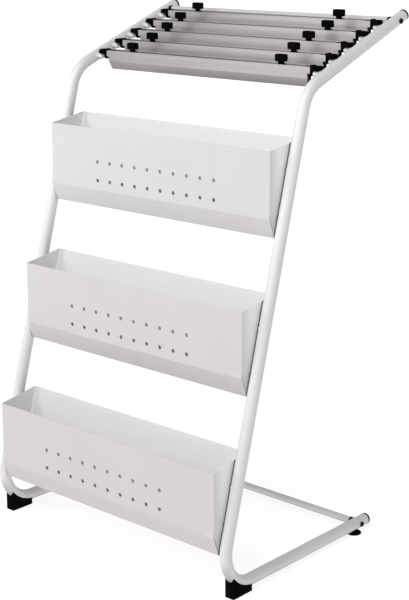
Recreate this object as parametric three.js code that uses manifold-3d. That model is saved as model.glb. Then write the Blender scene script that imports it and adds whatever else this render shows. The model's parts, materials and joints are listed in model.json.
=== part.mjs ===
// Free-standing rack: newspaper sticks hook over two rising arms, and magazine pockets hang between the posts.
// Millimetres. +X is the viewer's right, -Y is the front and +Z is up.
// Pieces are drawn with Y = 0 where the post line meets the rail line and Z = 0 on the floor.
import * as THREE from "three";
import { mergeVertices } from "three/addons/utils/BufferGeometryUtils.js";
import Module from "manifold-3d";

const wasm = await Module();
wasm.setup();

// Clearances
const seat = 0.3; // between pieces that rest on each other
const holePlay = 0.4; // on the radius of a hole round its screw, stud or spigot
const facetPlay = 0.4; // under a bend that is drawn with flat facets
const weldDepth = 0.4; // how far a welded piece sinks into its tube
const lap = 1; // how far the parts of one moulding run into each other
const cutPast = 5; // how far a cutting tool runs past what it cuts

// Side frames, each bent from one tube
const tubeDiameter = 25.4;
const tubeWall = 1.6;
const frameSpacing = 678; // between the two tubes' centre lines
const railHeight = 20.4; // rail centre line above the floor
const railLength = 497; // post line to the rail's open end
const postLength = 1028; // rail line to arm line
const postLean = 15.2; // degrees back from upright
const armLength = 359; // post line to the arm's open end
const armRise = 21.8; // degrees up from level
const bendRadius = 75; // of the centre line
const plugStem = 14;
const plugLead = 2; // tapered end of the stem
const plugHead = 6.5;

// Pegs on the arms
const pegDiameter = 13;
const pegUp = 2; // peg's centre above the arm's centre line
const pegReach = 17; // beyond the tube
const pegCrown = 5; // rounded tip
const pegEnd = 69.9; // last peg to the arm's open end
const pegPitch = 56.1;

// Cross tubes and their screws
const crossDiameter = 14;
const crossWall = 1.2;
const crossInset = 26.5; // from the open ends of the rails and arms
const crossEnd = 18; // depth of the threaded ends
const saddleDiameter = 17;
const saddleThickness = 6;
const crossScrew = 6;
const crossScrewHead = 10.5;
const crossScrewDome = 3.6;
const crossScrewGrip = 12; // inside the cross tube

// Front feet and rear glides
const footWidth = 24;
const footAhead = 65; // from the bend's rear end to the foot's front
const footBehind = 6;
const footBevel = 1.8;
const spigotDiameter = 9;
const spigotAhead = 30; // from the bend's rear end
const spigotDrop = 3; // spigot's top below the rail's centre line
const glideDiameter = 34;
const glideHeight = 5.5;
const glideEdge = 1.2;
const glideInset = 39; // from the rail's open end
const studDiameter = 8;
const studReach = 5; // above the rail's centre line

// Pockets, folded from sheet; heights are from the point where each one crosses the post line
const sheet = 1.2;
const pocketFirst = 144; // along the post, from the rail line
const pocketPitch = 324;
const pocketStandoff = 3.8; // post to pocket
const pocketForward = 33.6; // front panel ahead of the post line
const frontAbove = 112.7;
const frontBelow = 26;
const slantDrop = 40.8;
const slantRun = 15.6;
const floorDepth = 34;
const backAbove = 128.5;
const seam = 1.6; // open joint along the bottom of each end
const returnWidth = 14; // flange of each end on the back panel
const returnDrop = 2; // flange's top below the back's top edge
const holeDiameter = 8;
const holePitch = 38.4;
const holeColumns = 10;
const rowTop = 75.4; // below the front's top edge
const rowGap = 41.5;
const bossDiameter = 12;
const bossUp = 72; // along the post
const pocketScrew = 3;
const pocketScrewHead = 7;
const pocketScrewDome = 2.4;
const pocketScrewGrip = 6; // beyond the boss
const pinDiameter = 6;
const pinDown = 26; // along the post
const pinShort = 0.2; // pin's tip below the pocket's inner face

// Newspaper sticks; heights and depths are from the arms' centre lines beside the pegs
const stickShift = 5; // how far the sticks hang to the right of the middle
const stickWall = 1.8;
const stickThickness = 14;
const stickForward = 5; // front face ahead of the peg's centre
const jawTop = 16.5;
const railRise = 3; // rail above the jaw
const foldDrop = 7.5;
const lipDrop = 18; // below the fold
const lipTip = 1.6;
const lipGap = 0.6;
const lipCut = 6; // how far the lips' ends slope in
const beadDrop = 3;
const beadRadius = 2.2;
const clawWall = 1.5;
const clawMouth = 45; // degrees to each side
const notchPlay = 1.5; // between the claw and the caps' plugs and toes
const webThickness = 1.8;
const slitDepth = 8.3; // open top, from the jaw's inner face to the rail's flange
const jawPlay = 0.5; // at each end

// End caps
const endPlay = 5.7; // between cap and arm when the stick hangs in the middle
const hookLength = 17.5;
const hookAhead = 2.2; // roof ahead of the groove
const hookBehind = 4.2;
const hookTop = 19;
const hookRound = 5; // front top corner
const hookChamfer = 2; // rear top corner
const legDrop = 2.7;
const capFlange = 4;
const capBorder = 1.2; // flange beyond the stick
const capChamfer = 1.5;
const toeLength = 7;
const toePlate = 2; // closes the hollow between the lips
const toeDrop = 11;
const toeInset = 3.5; // plate behind the front face and ahead of the back
const capPlug = 18;

// Sliders along the slit
const sliderHead = [26.5, 13, 15.5];
const sliderRadius = 3;
const sliderHeadUp = 22.3;
const sliderNeck = [14.5, 3.2];
const sliderFoot = [20, 5];
const sliderFootUp = 9;
const sliderLeft = [221, 209, 211, 217, 209]; // from the stick's middle, front stick first
const sliderRight = [216, 208, 207, 218, 209];

// Colours and finishes
const white = new THREE.MeshStandardMaterial({ color: 0xe9e8e6, roughness: 0.45, metalness: 0 });
const alloy = new THREE.MeshStandardMaterial({ color: 0xb4b1ac, roughness: 0.35, metalness: 1 });
const black = new THREE.MeshStandardMaterial({ color: 0x101010, roughness: 0.55, metalness: 0 });
const rubber = new THREE.MeshStandardMaterial({ color: 0x131211, roughness: 0.8, metalness: 0 });
const blackened = new THREE.MeshStandardMaterial({ color: 0x161616, roughness: 0.4, metalness: 0.8 });

// Sizes that follow from the ones above
const radians = Math.PI / 180;
const tubeRadius = tubeDiameter / 2;
const boreRadius = tubeRadius - tubeWall;
const tubeSides = 16;
const boreSides = 12;
const clearBore = boreRadius * Math.cos(Math.PI / boreSides) - seat;
const frameX = frameSpacing / 2;
const innerX = frameX - tubeRadius;
const leanY = Math.sin(postLean * radians);
const leanZ = Math.cos(postLean * radians);
const riseY = Math.cos(armRise * radians);
const riseZ = Math.sin(armRise * radians);
const bendReach = bendRadius * Math.tan((90 + postLean) * 0.5 * radians);

// A point on the post line and one on the arm line, as [y, z]
const onPost = (s) => [s * leanY, railHeight + s * leanZ];
const onArm = (t) => {
  const [y, z] = onPost(postLength);
  return [y + t * riseY, z + t * riseZ];
};

// Turns a closed geometry into a solid that can be joined and cut
function solid(geometry) {
  const plain = geometry.index ? geometry.toNonIndexed() : geometry;
  const bare = new THREE.BufferGeometry();
  bare.setAttribute("position", plain.getAttribute("position"));
  const merged = mergeVertices(bare, 1e-3);
  const mesh = new wasm.Mesh({
    numProp: 3,
    vertProperties: merged.attributes.position.array,
    triVerts: new Uint32Array(merged.index.array),
  });
  return new wasm.Manifold(mesh);
}

const join = (parts) => parts.reduce((whole, part) => whole.add(part));
const cut = (body, tools) => tools.reduce((whole, tool) => whole.subtract(tool), body);

// Turns a solid back into a geometry
function shell(body) {
  const mesh = body.getMesh();
  const geometry = new THREE.BufferGeometry();
  geometry.setAttribute("position", new THREE.BufferAttribute(new Float32Array(mesh.vertProperties), 3));
  geometry.setIndex(new THREE.BufferAttribute(new Uint32Array(mesh.triVerts), 1));
  geometry.computeVertexNormals();
  return geometry;
}

const ring = (radius, sides) =>
  Array.from({ length: sides }, (_, i) => {
    const angle = (i / sides) * 2 * Math.PI;
    return new THREE.Vector2(radius * Math.cos(angle), radius * Math.sin(angle));
  });

const outline = (points) => new THREE.Shape(points.map(([x, y]) => new THREE.Vector2(x, y)));

// Extrudes a (y, z) outline along X
function alongX(shape, from, to, curveSegments = 5) {
  const geometry = new THREE.ExtrudeGeometry(shape, { depth: to - from, bevelEnabled: false, curveSegments });
  geometry.translate(0, 0, from);
  const turn = new THREE.Matrix4().makeBasis(
    new THREE.Vector3(0, 1, 0),
    new THREE.Vector3(0, 0, 1),
    new THREE.Vector3(1, 0, 0),
  );
  return geometry.applyMatrix4(turn);
}

// Extrudes an (x, z) outline along Y
function alongY(shape, from, to, curveSegments = 3) {
  const geometry = new THREE.ExtrudeGeometry(shape, { depth: to - from, bevelEnabled: false, curveSegments });
  return geometry.rotateX(Math.PI / 2).translate(0, to, 0);
}

function block(x, y, z) {
  const geometry = new THREE.BoxGeometry(x[1] - x[0], y[1] - y[0], z[1] - z[0]);
  return geometry.translate((x[0] + x[1]) / 2, (y[0] + y[1]) / 2, (z[0] + z[1]) / 2);
}

// Round bars along each axis
const bar = (radius, from, to, sides) =>
  new THREE.CylinderGeometry(radius, radius, to - from, sides).translate(0, (from + to) / 2, 0);
const barX = (radius, from, to, y, z, sides = 12) =>
  bar(radius, from, to, sides)
    .rotateZ(-Math.PI / 2)
    .translate(0, y, z);
const barY = (radius, from, to, x, z, sides = 10) => bar(radius, from, to, sides).translate(x, 0, z);
const barZ = (radius, from, to, x, y, sides = 12) =>
  bar(radius, from, to, sides)
    .rotateX(Math.PI / 2)
    .translate(x, y, 0);

// Turns a profile of [radius, distance] points about the Y axis
const turned = (profile, sides) =>
  new THREE.LatheGeometry(
    profile.map(([radius, along]) => new THREE.Vector2(radius, along)),
    sides,
  );

// A path held as stations, few on its straights and more in its bends
class StationPath extends THREE.Curve {
  constructor(stations) {
    super();
    this.stations = stations;
  }
  station(u) {
    return this.stations[Math.round(u * (this.stations.length - 1))];
  }
  getPoint(u, target = new THREE.Vector3()) {
    return target.copy(this.station(u).point);
  }
  getPointAt(u, target) {
    return this.getPoint(u, target);
  }
  getTangent(u, target = new THREE.Vector3()) {
    return target.copy(this.station(u).tangent);
  }
  getTangentAt(u, target) {
    return this.getTangent(u, target);
  }
}

// Rounds the corners of a line through points to one radius
function roundedPath(points, radius, degreesPerStation) {
  const stations = [];
  const way = (i) => points[i + 1].clone().sub(points[i]).normalize();
  stations.push({ point: points[0], tangent: way(0) });
  for (let i = 1; i < points.length - 1; i++) {
    const arriving = way(i - 1);
    const leaving = way(i);
    const turn = arriving.angleTo(leaving);
    const start = points[i].clone().addScaledVector(arriving, -radius * Math.tan(turn / 2));
    const axis = arriving.clone().cross(leaving).normalize();
    const centre = start.clone().addScaledVector(axis.clone().cross(arriving), radius);
    const steps = Math.ceil(turn / (degreesPerStation * radians));
    for (let k = 0; k <= steps; k++) {
      const angle = (turn * k) / steps;
      const point = start.clone().sub(centre).applyAxisAngle(axis, angle).add(centre);
      stations.push({ point, tangent: arriving.clone().applyAxisAngle(axis, angle) });
    }
  }
  stations.push({ point: points.at(-1), tangent: way(points.length - 2) });
  return new StationPath(stations);
}

// Moves each side of an open line of [y, z] corners to its left by its own distance
function movedCorners(corners, distances) {
  const sides = distances.map((distance, i) => {
    const from = new THREE.Vector2(...corners[i]);
    const along = new THREE.Vector2(...corners[i + 1]).sub(from).normalize();
    const left = new THREE.Vector2(-along.y, along.x);
    return { from: from.addScaledVector(left, distance), along, left, distance };
  });
  const moved = [[sides[0].from.x, sides[0].from.y]];
  for (let i = 1; i < sides.length; i++) {
    const before = sides[i - 1];
    const after = sides[i];
    const gap = after.from.clone().sub(before.from);
    const reach = gap.cross(after.along) / before.along.cross(after.along);
    const corner = before.from.clone().addScaledVector(before.along, reach);
    moved.push([corner.x, corner.y]);
  }
  const last = sides.at(-1);
  const end = new THREE.Vector2(...corners.at(-1)).addScaledVector(last.left, last.distance);
  moved.push([end.x, end.y]);
  return moved;
}

// Closes a turned profile with a low dome from one height to another
const domed = (radius, low, high) => [
  [radius, low + (high - low) * 0.3],
  [radius * 0.7, low + (high - low) * 0.88],
  [0, high],
];

// Pieces are drawn about their own seats, and groups set them in place
const rack = new THREE.Group();
const assembly = new THREE.Group();
rack.add(assembly);

function addGroup(y, z, tilt = 0, x = 0) {
  const group = new THREE.Group();
  group.position.set(x, y, z);
  group.rotation.x = tilt;
  assembly.add(group);
  return group;
}

function add(group, name, geometry, material, x = 0, y = 0, z = 0) {
  const mesh = new THREE.Mesh(geometry, material);
  mesh.name = name;
  mesh.position.set(x, y, z);
  group.add(mesh);
  return mesh;
}

// The right-hand piece as drawn, and its mirror image on the left
function addPair(group, name, geometry, material, x = 0, y = 0, z = 0) {
  add(group, name + "_right", geometry, material, x, y, z);
  add(group, name + "_left", geometry, material, -x, y, z).scale.x = -1;
}

// Places along the posts and arms
const armTilt = armRise * radians;
const pegRadius = pegDiameter / 2;
const sticks = sliderLeft.length;
const pegAt = sliderLeft.map((_, i) => armLength - pegEnd - (sticks - 1 - i) * pegPitch);
const pocketNames = ["lower", "middle", "upper"];
const pocketAt = pocketNames.map((_, i) => pocketFirst + i * pocketPitch);
const crossings = [
  { name: "base", place: [railLength - crossInset, railHeight], tilt: 0 },
  { name: "top", place: onArm(armLength - crossInset), tilt: armTilt },
];
const pocketX = innerX - pocketStandoff;
const glideY = railLength - glideInset;
const spigotY = bendReach - spigotAhead;

// Side frame, drawn about its tube's centre line, with pegs, bosses and pins towards the middle of the rack
const rootX = (radius) => weldDepth - Math.sqrt(tubeRadius ** 2 - radius ** 2);
const corners = [[railLength, railHeight], [0, railHeight], onPost(postLength), onArm(armLength)];
const framePath = roundedPath(
  corners.map(([y, z]) => new THREE.Vector3(0, y, z)),
  bendRadius,
  15,
);
const tubeShape = new THREE.Shape(ring(tubeRadius, tubeSides));
tubeShape.holes.push(new THREE.Path(ring(boreRadius, boreSides)));
const tube = solid(
  new THREE.ExtrudeGeometry(tubeShape, {
    steps: framePath.stations.length - 1,
    extrudePath: framePath,
    bevelEnabled: false,
  }),
);

const pegTip = tubeRadius + pegReach;
const pegRoot = -rootX(pegRadius + pegUp);
const pegProfile = [
  [0, pegRoot],
  [pegRadius, pegRoot],
  [pegRadius, pegTip - pegCrown],
  ...domed(pegRadius, pegTip - pegCrown, pegTip),
].map(([radius, reach]) => [radius, -reach]);
const pegs = pegAt.map((t) =>
  solid(
    turned(pegProfile.toReversed(), 12)
      .rotateZ(-Math.PI / 2)
      .translate(0, ...onArm(t))
      .translate(0, 0, pegUp),
  ),
);
const bossTip = -tubeRadius - pocketStandoff + seat;
const bosses = pocketAt.map((s) => solid(barX(bossDiameter / 2, bossTip, rootX(bossDiameter / 2), ...onPost(s + bossUp), 14)));
const pinTip = -tubeRadius - pocketStandoff - sheet + pinShort;
const pins = pocketAt.map((s) => solid(barX(pinDiameter / 2, pinTip, rootX(pinDiameter / 2), ...onPost(s - pinDown), 10)));
const bossBores = pocketAt.map((s) =>
  solid(barX(pocketScrew / 2 + holePlay, bossTip - cutPast, 0, ...onPost(s + bossUp), 10)),
);
const crossBores = crossings.map(({ place }) =>
  solid(barX(crossScrew / 2 + holePlay, -tubeRadius - cutPast, tubeRadius + cutPast, ...place, 10)),
);
const underBores = [
  solid(barZ(spigotDiameter / 2 + holePlay, 0, railHeight, 0, spigotY)),
  solid(barZ(studDiameter / 2 + holePlay, 0, railHeight, 0, glideY)),
];
const frame = cut(join([tube, ...pegs, ...bosses, ...pins]), [...bossBores, ...crossBores, ...underBores]);
addPair(assembly, "side_frame", shell(frame), white, frameX);

// Plugs in the open tube ends
const plug = turned(
  [
    [0, -plugStem],
    [clearBore - plugLead / 2, -plugStem],
    [clearBore, -plugStem + plugLead],
    [clearBore, seat],
    [tubeRadius, seat],
    ...domed(tubeRadius, seat, plugHead),
  ],
  14,
);
addPair(assembly, "rail_plug", plug, black, frameX, railLength, railHeight);
addPair(addGroup(...onArm(armLength), armTilt), "arm_plug", plug, black, frameX);

// Cross tubes, saddle washers and screws, drawn about the screws' line
const crossRadius = crossDiameter / 2;
const crossHalf = innerX - saddleThickness - seat;
const threadRadius = crossScrew / 2 + holePlay;
const crossBore = crossRadius - crossWall;
const crossTube = turned(
  [
    [threadRadius, -crossHalf],
    [crossRadius, -crossHalf],
    [crossRadius, crossHalf],
    [threadRadius, crossHalf],
    [threadRadius, crossHalf - crossEnd],
    [crossBore, crossHalf - crossEnd],
    [crossBore, crossEnd - crossHalf],
    [threadRadius, crossEnd - crossHalf],
    [threadRadius, -crossHalf],
  ],
  14,
).rotateZ(-Math.PI / 2);
const screwFace = tubeRadius + seat;
const screwTip = crossHalf - crossScrewGrip - frameX;
const crossScrewShape = turned(
  [
    [0, screwTip],
    [crossScrew / 2, screwTip],
    [crossScrew / 2, screwFace],
    [crossScrewHead / 2, screwFace],
    ...domed(crossScrewHead / 2, screwFace, screwFace + crossScrewDome),
  ],
  10,
).rotateZ(-Math.PI / 2);
const washer = solid(barX(saddleDiameter / 2, crossHalf + seat - frameX, 0, 0, 0, 16));
const washerHollow = [
  solid(barY(tubeRadius + seat, -saddleDiameter, saddleDiameter, 0, 0, tubeSides * 2)),
  solid(barX(threadRadius, crossHalf - cutPast - frameX, 0, 0, 0, 10)),
];
const saddle = shell(cut(washer, washerHollow));
for (const { name, place, tilt } of crossings) {
  const crossing = addGroup(...place, tilt);
  add(crossing, "cross_tube_" + name, crossTube, white);
  addPair(crossing, "saddle_" + name, saddle, black, frameX);
  addPair(crossing, "cross_screw_" + name, crossScrewShape, blackened, frameX);
}

// Front feet, hollowed to the underside of the bend and drawn from the bend's rear end
const footBend = bendRadius + tubeRadius + seat;
const footTop = (ahead) => railHeight + bendRadius - Math.sqrt(footBend ** 2 - ahead ** 2);
const footSteps = 8;
const footCurve = Array.from({ length: footSteps + 1 }, (_, i) => {
  const ahead = footBehind + (i / footSteps) * (footAhead - footBehind);
  return [-ahead, footTop(ahead) - facetPlay];
});
const footBlock = alongX(
  outline([[footBevel - footAhead, 0], [-footBehind, 0], ...footCurve, [-footAhead, footBevel]]),
  -footWidth / 2,
  footWidth / 2,
);
const spigot = barZ(spigotDiameter / 2, footTop(spigotAhead) / 2, railHeight - spigotDrop, 0, -spigotAhead, 12);
addPair(assembly, "front_foot", shell(join([solid(footBlock), solid(spigot)])), rubber, frameX, bendReach);

// Rear glides on their studs
const glide = turned(
  [
    [0, 0],
    [glideDiameter / 2 - glideEdge, 0],
    [glideDiameter / 2, glideEdge],
    [glideDiameter / 2, (glideEdge + glideHeight) / 2],
    [studDiameter, glideHeight],
    [studDiameter / 2, glideHeight],
    [studDiameter / 2, railHeight + studReach],
    [0, railHeight + studReach],
  ],
  18,
).rotateX(Math.PI / 2);
addPair(assembly, "rear_glide", glide, black, frameX, glideY);

// Pockets, drawn about the point where each one crosses the post line
const foldY = -pocketForward;
const floorZ = -frontBelow - slantDrop;
const floorY = foldY + slantRun;
const rearY = floorY + floorDepth;
const backY = (z) => rearY + ((z - floorZ) * leanY) / leanZ;
const pocketCorners = [
  [foldY, frontAbove],
  [foldY, -frontBelow],
  [floorY, floorZ],
  [rearY, floorZ],
  [backY(backAbove), backAbove],
];
const inside = movedCorners(pocketCorners, [sheet, sheet, sheet, sheet]);
const trough = solid(alongX(outline([...pocketCorners, ...inside.reverse()]), -pocketX, pocketX));
const endShape = outline(movedCorners(pocketCorners, [0, sheet + seam, sheet + seam, 0]));
const returnLow = floorZ + sheet + seam;
const returnHigh = backAbove - returnDrop;
const inBack = (z, depth) => [backY(z) - depth / leanZ, z];
const returnShape = outline([
  inBack(returnLow, sheet / 2),
  inBack(returnHigh, sheet / 2),
  inBack(returnHigh, sheet * 2),
  inBack(returnLow, sheet * 2),
]);
const ends = [-1, 1].flatMap((side) => {
  const edges = (near, far) => [Math.min(side * near, side * far), Math.max(side * near, side * far)];
  const end = solid(alongX(endShape, ...edges(pocketX - sheet, pocketX)));
  const flange = solid(alongX(returnShape, ...edges(pocketX - returnWidth, pocketX - sheet / 2)));
  return [end, flange];
});
const holes = Array.from({ length: holeColumns * 2 }, (_, i) => {
  const x = ((i % holeColumns) - (holeColumns - 1) / 2) * holePitch;
  const z = frontAbove - rowTop - (i < holeColumns ? 0 : rowGap);
  return solid(barY(holeDiameter / 2, foldY - cutPast, foldY + cutPast, x, z, 10));
});
const throughEnds = (radius, up) =>
  solid(barX(radius + holePlay, -pocketX - cutPast, pocketX + cutPast, up * leanY, up * leanZ, 10));
const fixings = [throughEnds(pocketScrew / 2, bossUp), throughEnds(pinDiameter / 2, -pinDown)];
const pocket = shell(cut(join([trough, ...ends]), [...holes, ...fixings]));
const pocketScrewTip = pocketStandoff + sheet + seat + pocketScrewGrip;
const pocketScrewShape = turned(
  [
    ...domed(pocketScrewHead / 2, 0, -pocketScrewDome).reverse(),
    [pocketScrewHead / 2, 0],
    [pocketScrew / 2, 0],
    [pocketScrew / 2, pocketScrewTip],
    [0, pocketScrewTip],
  ],
  10,
).rotateZ(-Math.PI / 2);
pocketNames.forEach((name, i) => {
  const hanging = addGroup(...onPost(pocketAt[i]));
  add(hanging, "pocket_" + name, pocket, white);
  const screwX = pocketX - sheet - seat;
  addPair(hanging, "pocket_screw_" + name, pocketScrewShape, blackened, screwX, bossUp * leanY, bossUp * leanZ);
});

// Newspaper stick: rail, jaw, end caps and slider, drawn about the peg's centre
const stickFront = -stickForward;
const stickBack = stickFront + stickThickness;
const jawInner = stickFront + stickWall;
const railInner = stickBack - stickWall;
const railTop = jawTop + railRise;
const flangeFront = jawInner + slitDepth;
const middle = (stickFront + stickBack) / 2;
const lipBottom = -foldDrop - lipDrop;
const clawBore = beadRadius + seat;
const clawRadius = clawBore + clawWall;
const beadY = stickFront + stickWall / 2 + clawRadius;
const stickHalf = innerX - endPlay - hookLength - capFlange - seat;
const jawHalf = stickHalf - jawPlay;

const webAngle = Math.asin(webThickness / 2 / beadRadius);
const railShape = new THREE.Shape();
railShape.moveTo(flangeFront, railTop);
railShape.lineTo(flangeFront, railTop - stickWall);
railShape.lineTo(railInner, railTop - stickWall);
railShape.lineTo(railInner, -beadDrop + webThickness / 2);
railShape.absarc(beadY, -beadDrop, beadRadius, webAngle, -webAngle, false);
railShape.lineTo(railInner, -beadDrop - webThickness / 2);
railShape.lineTo(railInner, -foldDrop);
railShape.lineTo(middle + lipGap / 2, lipBottom);
railShape.lineTo(middle + lipGap / 2 + lipTip, lipBottom);
railShape.lineTo(stickBack, -foldDrop);
railShape.lineTo(stickBack, railTop);

const mouth = clawMouth * radians;
const clawMeet = Math.acos((jawInner - beadY) / clawRadius);
const jawShape = new THREE.Shape();
jawShape.moveTo(stickFront, jawTop);
jawShape.lineTo(stickFront, -foldDrop);
jawShape.lineTo(middle - lipGap / 2 - lipTip, lipBottom);
jawShape.lineTo(middle - lipGap / 2, lipBottom);
jawShape.lineTo(jawInner, -foldDrop);
jawShape.absarc(beadY, -beadDrop, clawRadius, -clawMeet, -mouth, false);
jawShape.absarc(beadY, -beadDrop, clawBore, -mouth, mouth, true);
jawShape.absarc(beadY, -beadDrop, clawRadius, mouth, clawMeet, false);
jawShape.lineTo(jawInner, jawTop);

// The lips' ends slope in, and the hinge stops short of the caps' toes
const notchTop = -beadDrop + clawRadius + notchPlay;
const notchX = stickHalf - toeLength - seat;
const notches = [-1, 1].map((side) =>
  solid(
    alongY(
      outline([
        [side * notchX, notchTop],
        [side * notchX, -foldDrop],
        [side * (notchX - lipCut), lipBottom - lap],
        [side * (stickHalf + cutPast), lipBottom - lap],
        [side * (stickHalf + cutPast), notchTop],
      ]),
      stickFront - cutPast,
      stickBack + cutPast,
    ),
  ),
);
const stickRail = shell(cut(solid(alongX(railShape, -stickHalf, stickHalf)), notches));
const stickJaw = shell(cut(solid(alongX(jawShape, -jawHalf, jawHalf)), notches));

const groove = pegRadius + seat;
const hookFront = -groove - hookAhead;
const hookBack = groove + hookBehind;
const hookShape = new THREE.Shape();
hookShape.moveTo(hookFront, pegUp + groove);
hookShape.absarc(hookFront + hookRound, hookTop - hookRound, hookRound, Math.PI, Math.PI / 2, true);
hookShape.lineTo(hookBack - hookChamfer, hookTop);
hookShape.lineTo(hookBack, hookTop - hookChamfer);
hookShape.lineTo(hookBack, -legDrop);
hookShape.lineTo(groove, -legDrop);
hookShape.absarc(0, pegUp, groove, 0, Math.PI / 2, false);
const capX = stickHalf + seat;
const borderFront = stickFront - capBorder;
const borderBack = stickBack + capBorder;
const flangeOutline = outline([
  [borderFront, -legDrop],
  [borderBack, -legDrop],
  [borderBack, railTop + capBorder - capChamfer],
  [borderBack - capChamfer, railTop + capBorder],
  [borderFront + capChamfer, railTop + capBorder],
  [borderFront, railTop + capBorder - capChamfer],
]);
const [neckX, neckY] = sliderNeck;
const neckBack = flangeFront - seat;
const neckFront = neckBack - neckY;
const plugBack = railInner - seat;
const toeTop = notchTop - seat;
const toeX = capX - toeLength;
const cap = shell(
  join([
    solid(alongX(flangeOutline, capX, capX + capFlange)),
    solid(alongX(hookShape, capX + capFlange - lap, capX + capFlange + hookLength)),
    solid(block([toeX, capX + lap], [stickFront, stickBack], [-legDrop, toeTop])),
    solid(block([toeX, toeX + toePlate], [stickFront + toeInset, stickBack - toeInset], [-toeDrop, toeTop])),
    solid(block([capX - capPlug, capX + lap], [neckFront, plugBack], [toeTop - lap, railTop - stickWall - seat])),
  ]),
);

const [headX, headY, headZ] = sliderHead;
const [footX, footZ] = sliderFoot;
const headMiddle = (neckFront + neckBack) / 2;
const headHigh = sliderHeadUp + headZ;
const headSide = headX / 2 - sliderRadius;
const headShape = new THREE.Shape();
headShape.absarc(headSide, sliderHeadUp + sliderRadius, sliderRadius, -Math.PI / 2, 0, false);
headShape.absarc(headSide, headHigh - sliderRadius, sliderRadius, 0, Math.PI / 2, false);
headShape.absarc(-headSide, headHigh - sliderRadius, sliderRadius, Math.PI / 2, Math.PI, false);
headShape.absarc(-headSide, sliderHeadUp + sliderRadius, sliderRadius, Math.PI, Math.PI * 1.5, false);
const neckLow = sliderFootUp + footZ - lap;
const slider = shell(
  join([
    solid(alongY(headShape, headMiddle - headY / 2, headMiddle + headY / 2, 2)),
    solid(block([-neckX / 2, neckX / 2], [neckFront, neckBack], [neckLow, sliderHeadUp + lap])),
    solid(block([-footX / 2, footX / 2], [neckFront, plugBack], [sliderFootUp, sliderFootUp + footZ])),
  ]),
);

pegAt.forEach((t, i) => {
  const stick = addGroup(...onArm(t), 0, stickShift);
  const name = "stick_" + (i + 1);
  add(stick, name + "_rail", stickRail, alloy);
  add(stick, name + "_jaw", stickJaw, alloy);
  addPair(stick, name + "_cap", cap, black);
  add(stick, name + "_slider_left", slider, black, -sliderLeft[i]);
  add(stick, name + "_slider_right", slider, black, sliderRight[i]);
});

// The origin lies under the middle of the whole rack, on the floor
rack.updateMatrixWorld(true);
const bounds = new THREE.Box3().setFromObject(rack, true);
assembly.position.set(0, -(bounds.min.y + bounds.max.y) / 2, -bounds.min.z);

export default rack;
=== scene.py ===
# %% [markdown]
# A periodical display rack, dressed piece by piece.
# Two bent white tubes stand side by side. Five aluminium newspaper sticks hook over pegs on the rising arms,
# and three pockets folded from steel sheet hang between the posts for magazines.
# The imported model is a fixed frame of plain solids, so each cell below makes one finer piece over its solid.
# Sizes are in millimetres as on a workshop drawing, and become metres only when a mesh is made.

# %% Load the fixed frame
import functools
import json
import math

import bmesh
import bpy
import numpy as np
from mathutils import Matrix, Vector


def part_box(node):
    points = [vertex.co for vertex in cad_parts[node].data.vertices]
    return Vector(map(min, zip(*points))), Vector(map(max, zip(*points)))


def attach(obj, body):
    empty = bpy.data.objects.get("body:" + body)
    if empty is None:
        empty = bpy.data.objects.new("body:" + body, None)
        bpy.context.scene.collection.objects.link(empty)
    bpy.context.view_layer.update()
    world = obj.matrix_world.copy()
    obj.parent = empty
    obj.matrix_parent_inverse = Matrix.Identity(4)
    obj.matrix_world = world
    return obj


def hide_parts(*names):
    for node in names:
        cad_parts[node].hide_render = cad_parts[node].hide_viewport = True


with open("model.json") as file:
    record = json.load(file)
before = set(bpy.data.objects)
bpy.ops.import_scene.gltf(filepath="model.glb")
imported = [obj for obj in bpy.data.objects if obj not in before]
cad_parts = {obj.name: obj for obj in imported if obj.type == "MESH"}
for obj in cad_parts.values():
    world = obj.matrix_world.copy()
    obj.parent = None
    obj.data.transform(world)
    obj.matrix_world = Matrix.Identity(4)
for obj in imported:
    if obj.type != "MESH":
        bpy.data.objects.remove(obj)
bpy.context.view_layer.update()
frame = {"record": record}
body_of = {node: body for body, nodes in frame["record"]["behaviour"]["bodies"].items() for node in nodes}

# %% [markdown]
# The camera comes first, because every later choice is judged through it.
# The photograph looks slightly down on the rack from its right-hand front corner.
# Its picture is cut from a larger one, so the lens axis lies above and right of the middle. The camera's
# shift says that without tilting the camera, so the posts stay as upright as they are in the photograph.

# %% Camera at the photograph's viewpoint
MM = 0.001
PHOTO_WIDTH = 409
PHOTO_HEIGHT = 600
FOCAL_PIXELS = 1424.0
LENS_AXIS_PIXEL = (225.3, 204.0)
VIEWPOINT = (2096.8, -2290.2, 1338.5)
VIEW_TURN = 41.26
VIEW_DROP = 11.09

camera_data = bpy.data.cameras.new("photo_camera")
camera_data.sensor_width = 36.0
camera_data.lens = FOCAL_PIXELS / PHOTO_HEIGHT * camera_data.sensor_width
camera_data.shift_x = (PHOTO_WIDTH / 2 - LENS_AXIS_PIXEL[0]) / PHOTO_HEIGHT
camera_data.shift_y = (LENS_AXIS_PIXEL[1] - PHOTO_HEIGHT / 2) / PHOTO_HEIGHT
camera = bpy.data.objects.new("photo_camera", camera_data)
camera.location = Vector(VIEWPOINT) * MM
camera.rotation_euler = (math.radians(90 - VIEW_DROP), 0, math.radians(VIEW_TURN))
bpy.context.scene.collection.objects.link(camera)
bpy.context.scene.camera = camera
print("camera: lens", round(camera_data.lens, 1), "mm")

# %% [markdown]
# Finishes are node trees, and long trees of small nodes are hard to read.
# This class wraps one socket, so that ordinary arithmetic on it adds the Math nodes.
# Every other node comes from one method that takes the node's type, its settings and what its sockets hold.

# %% Shader arithmetic


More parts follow.
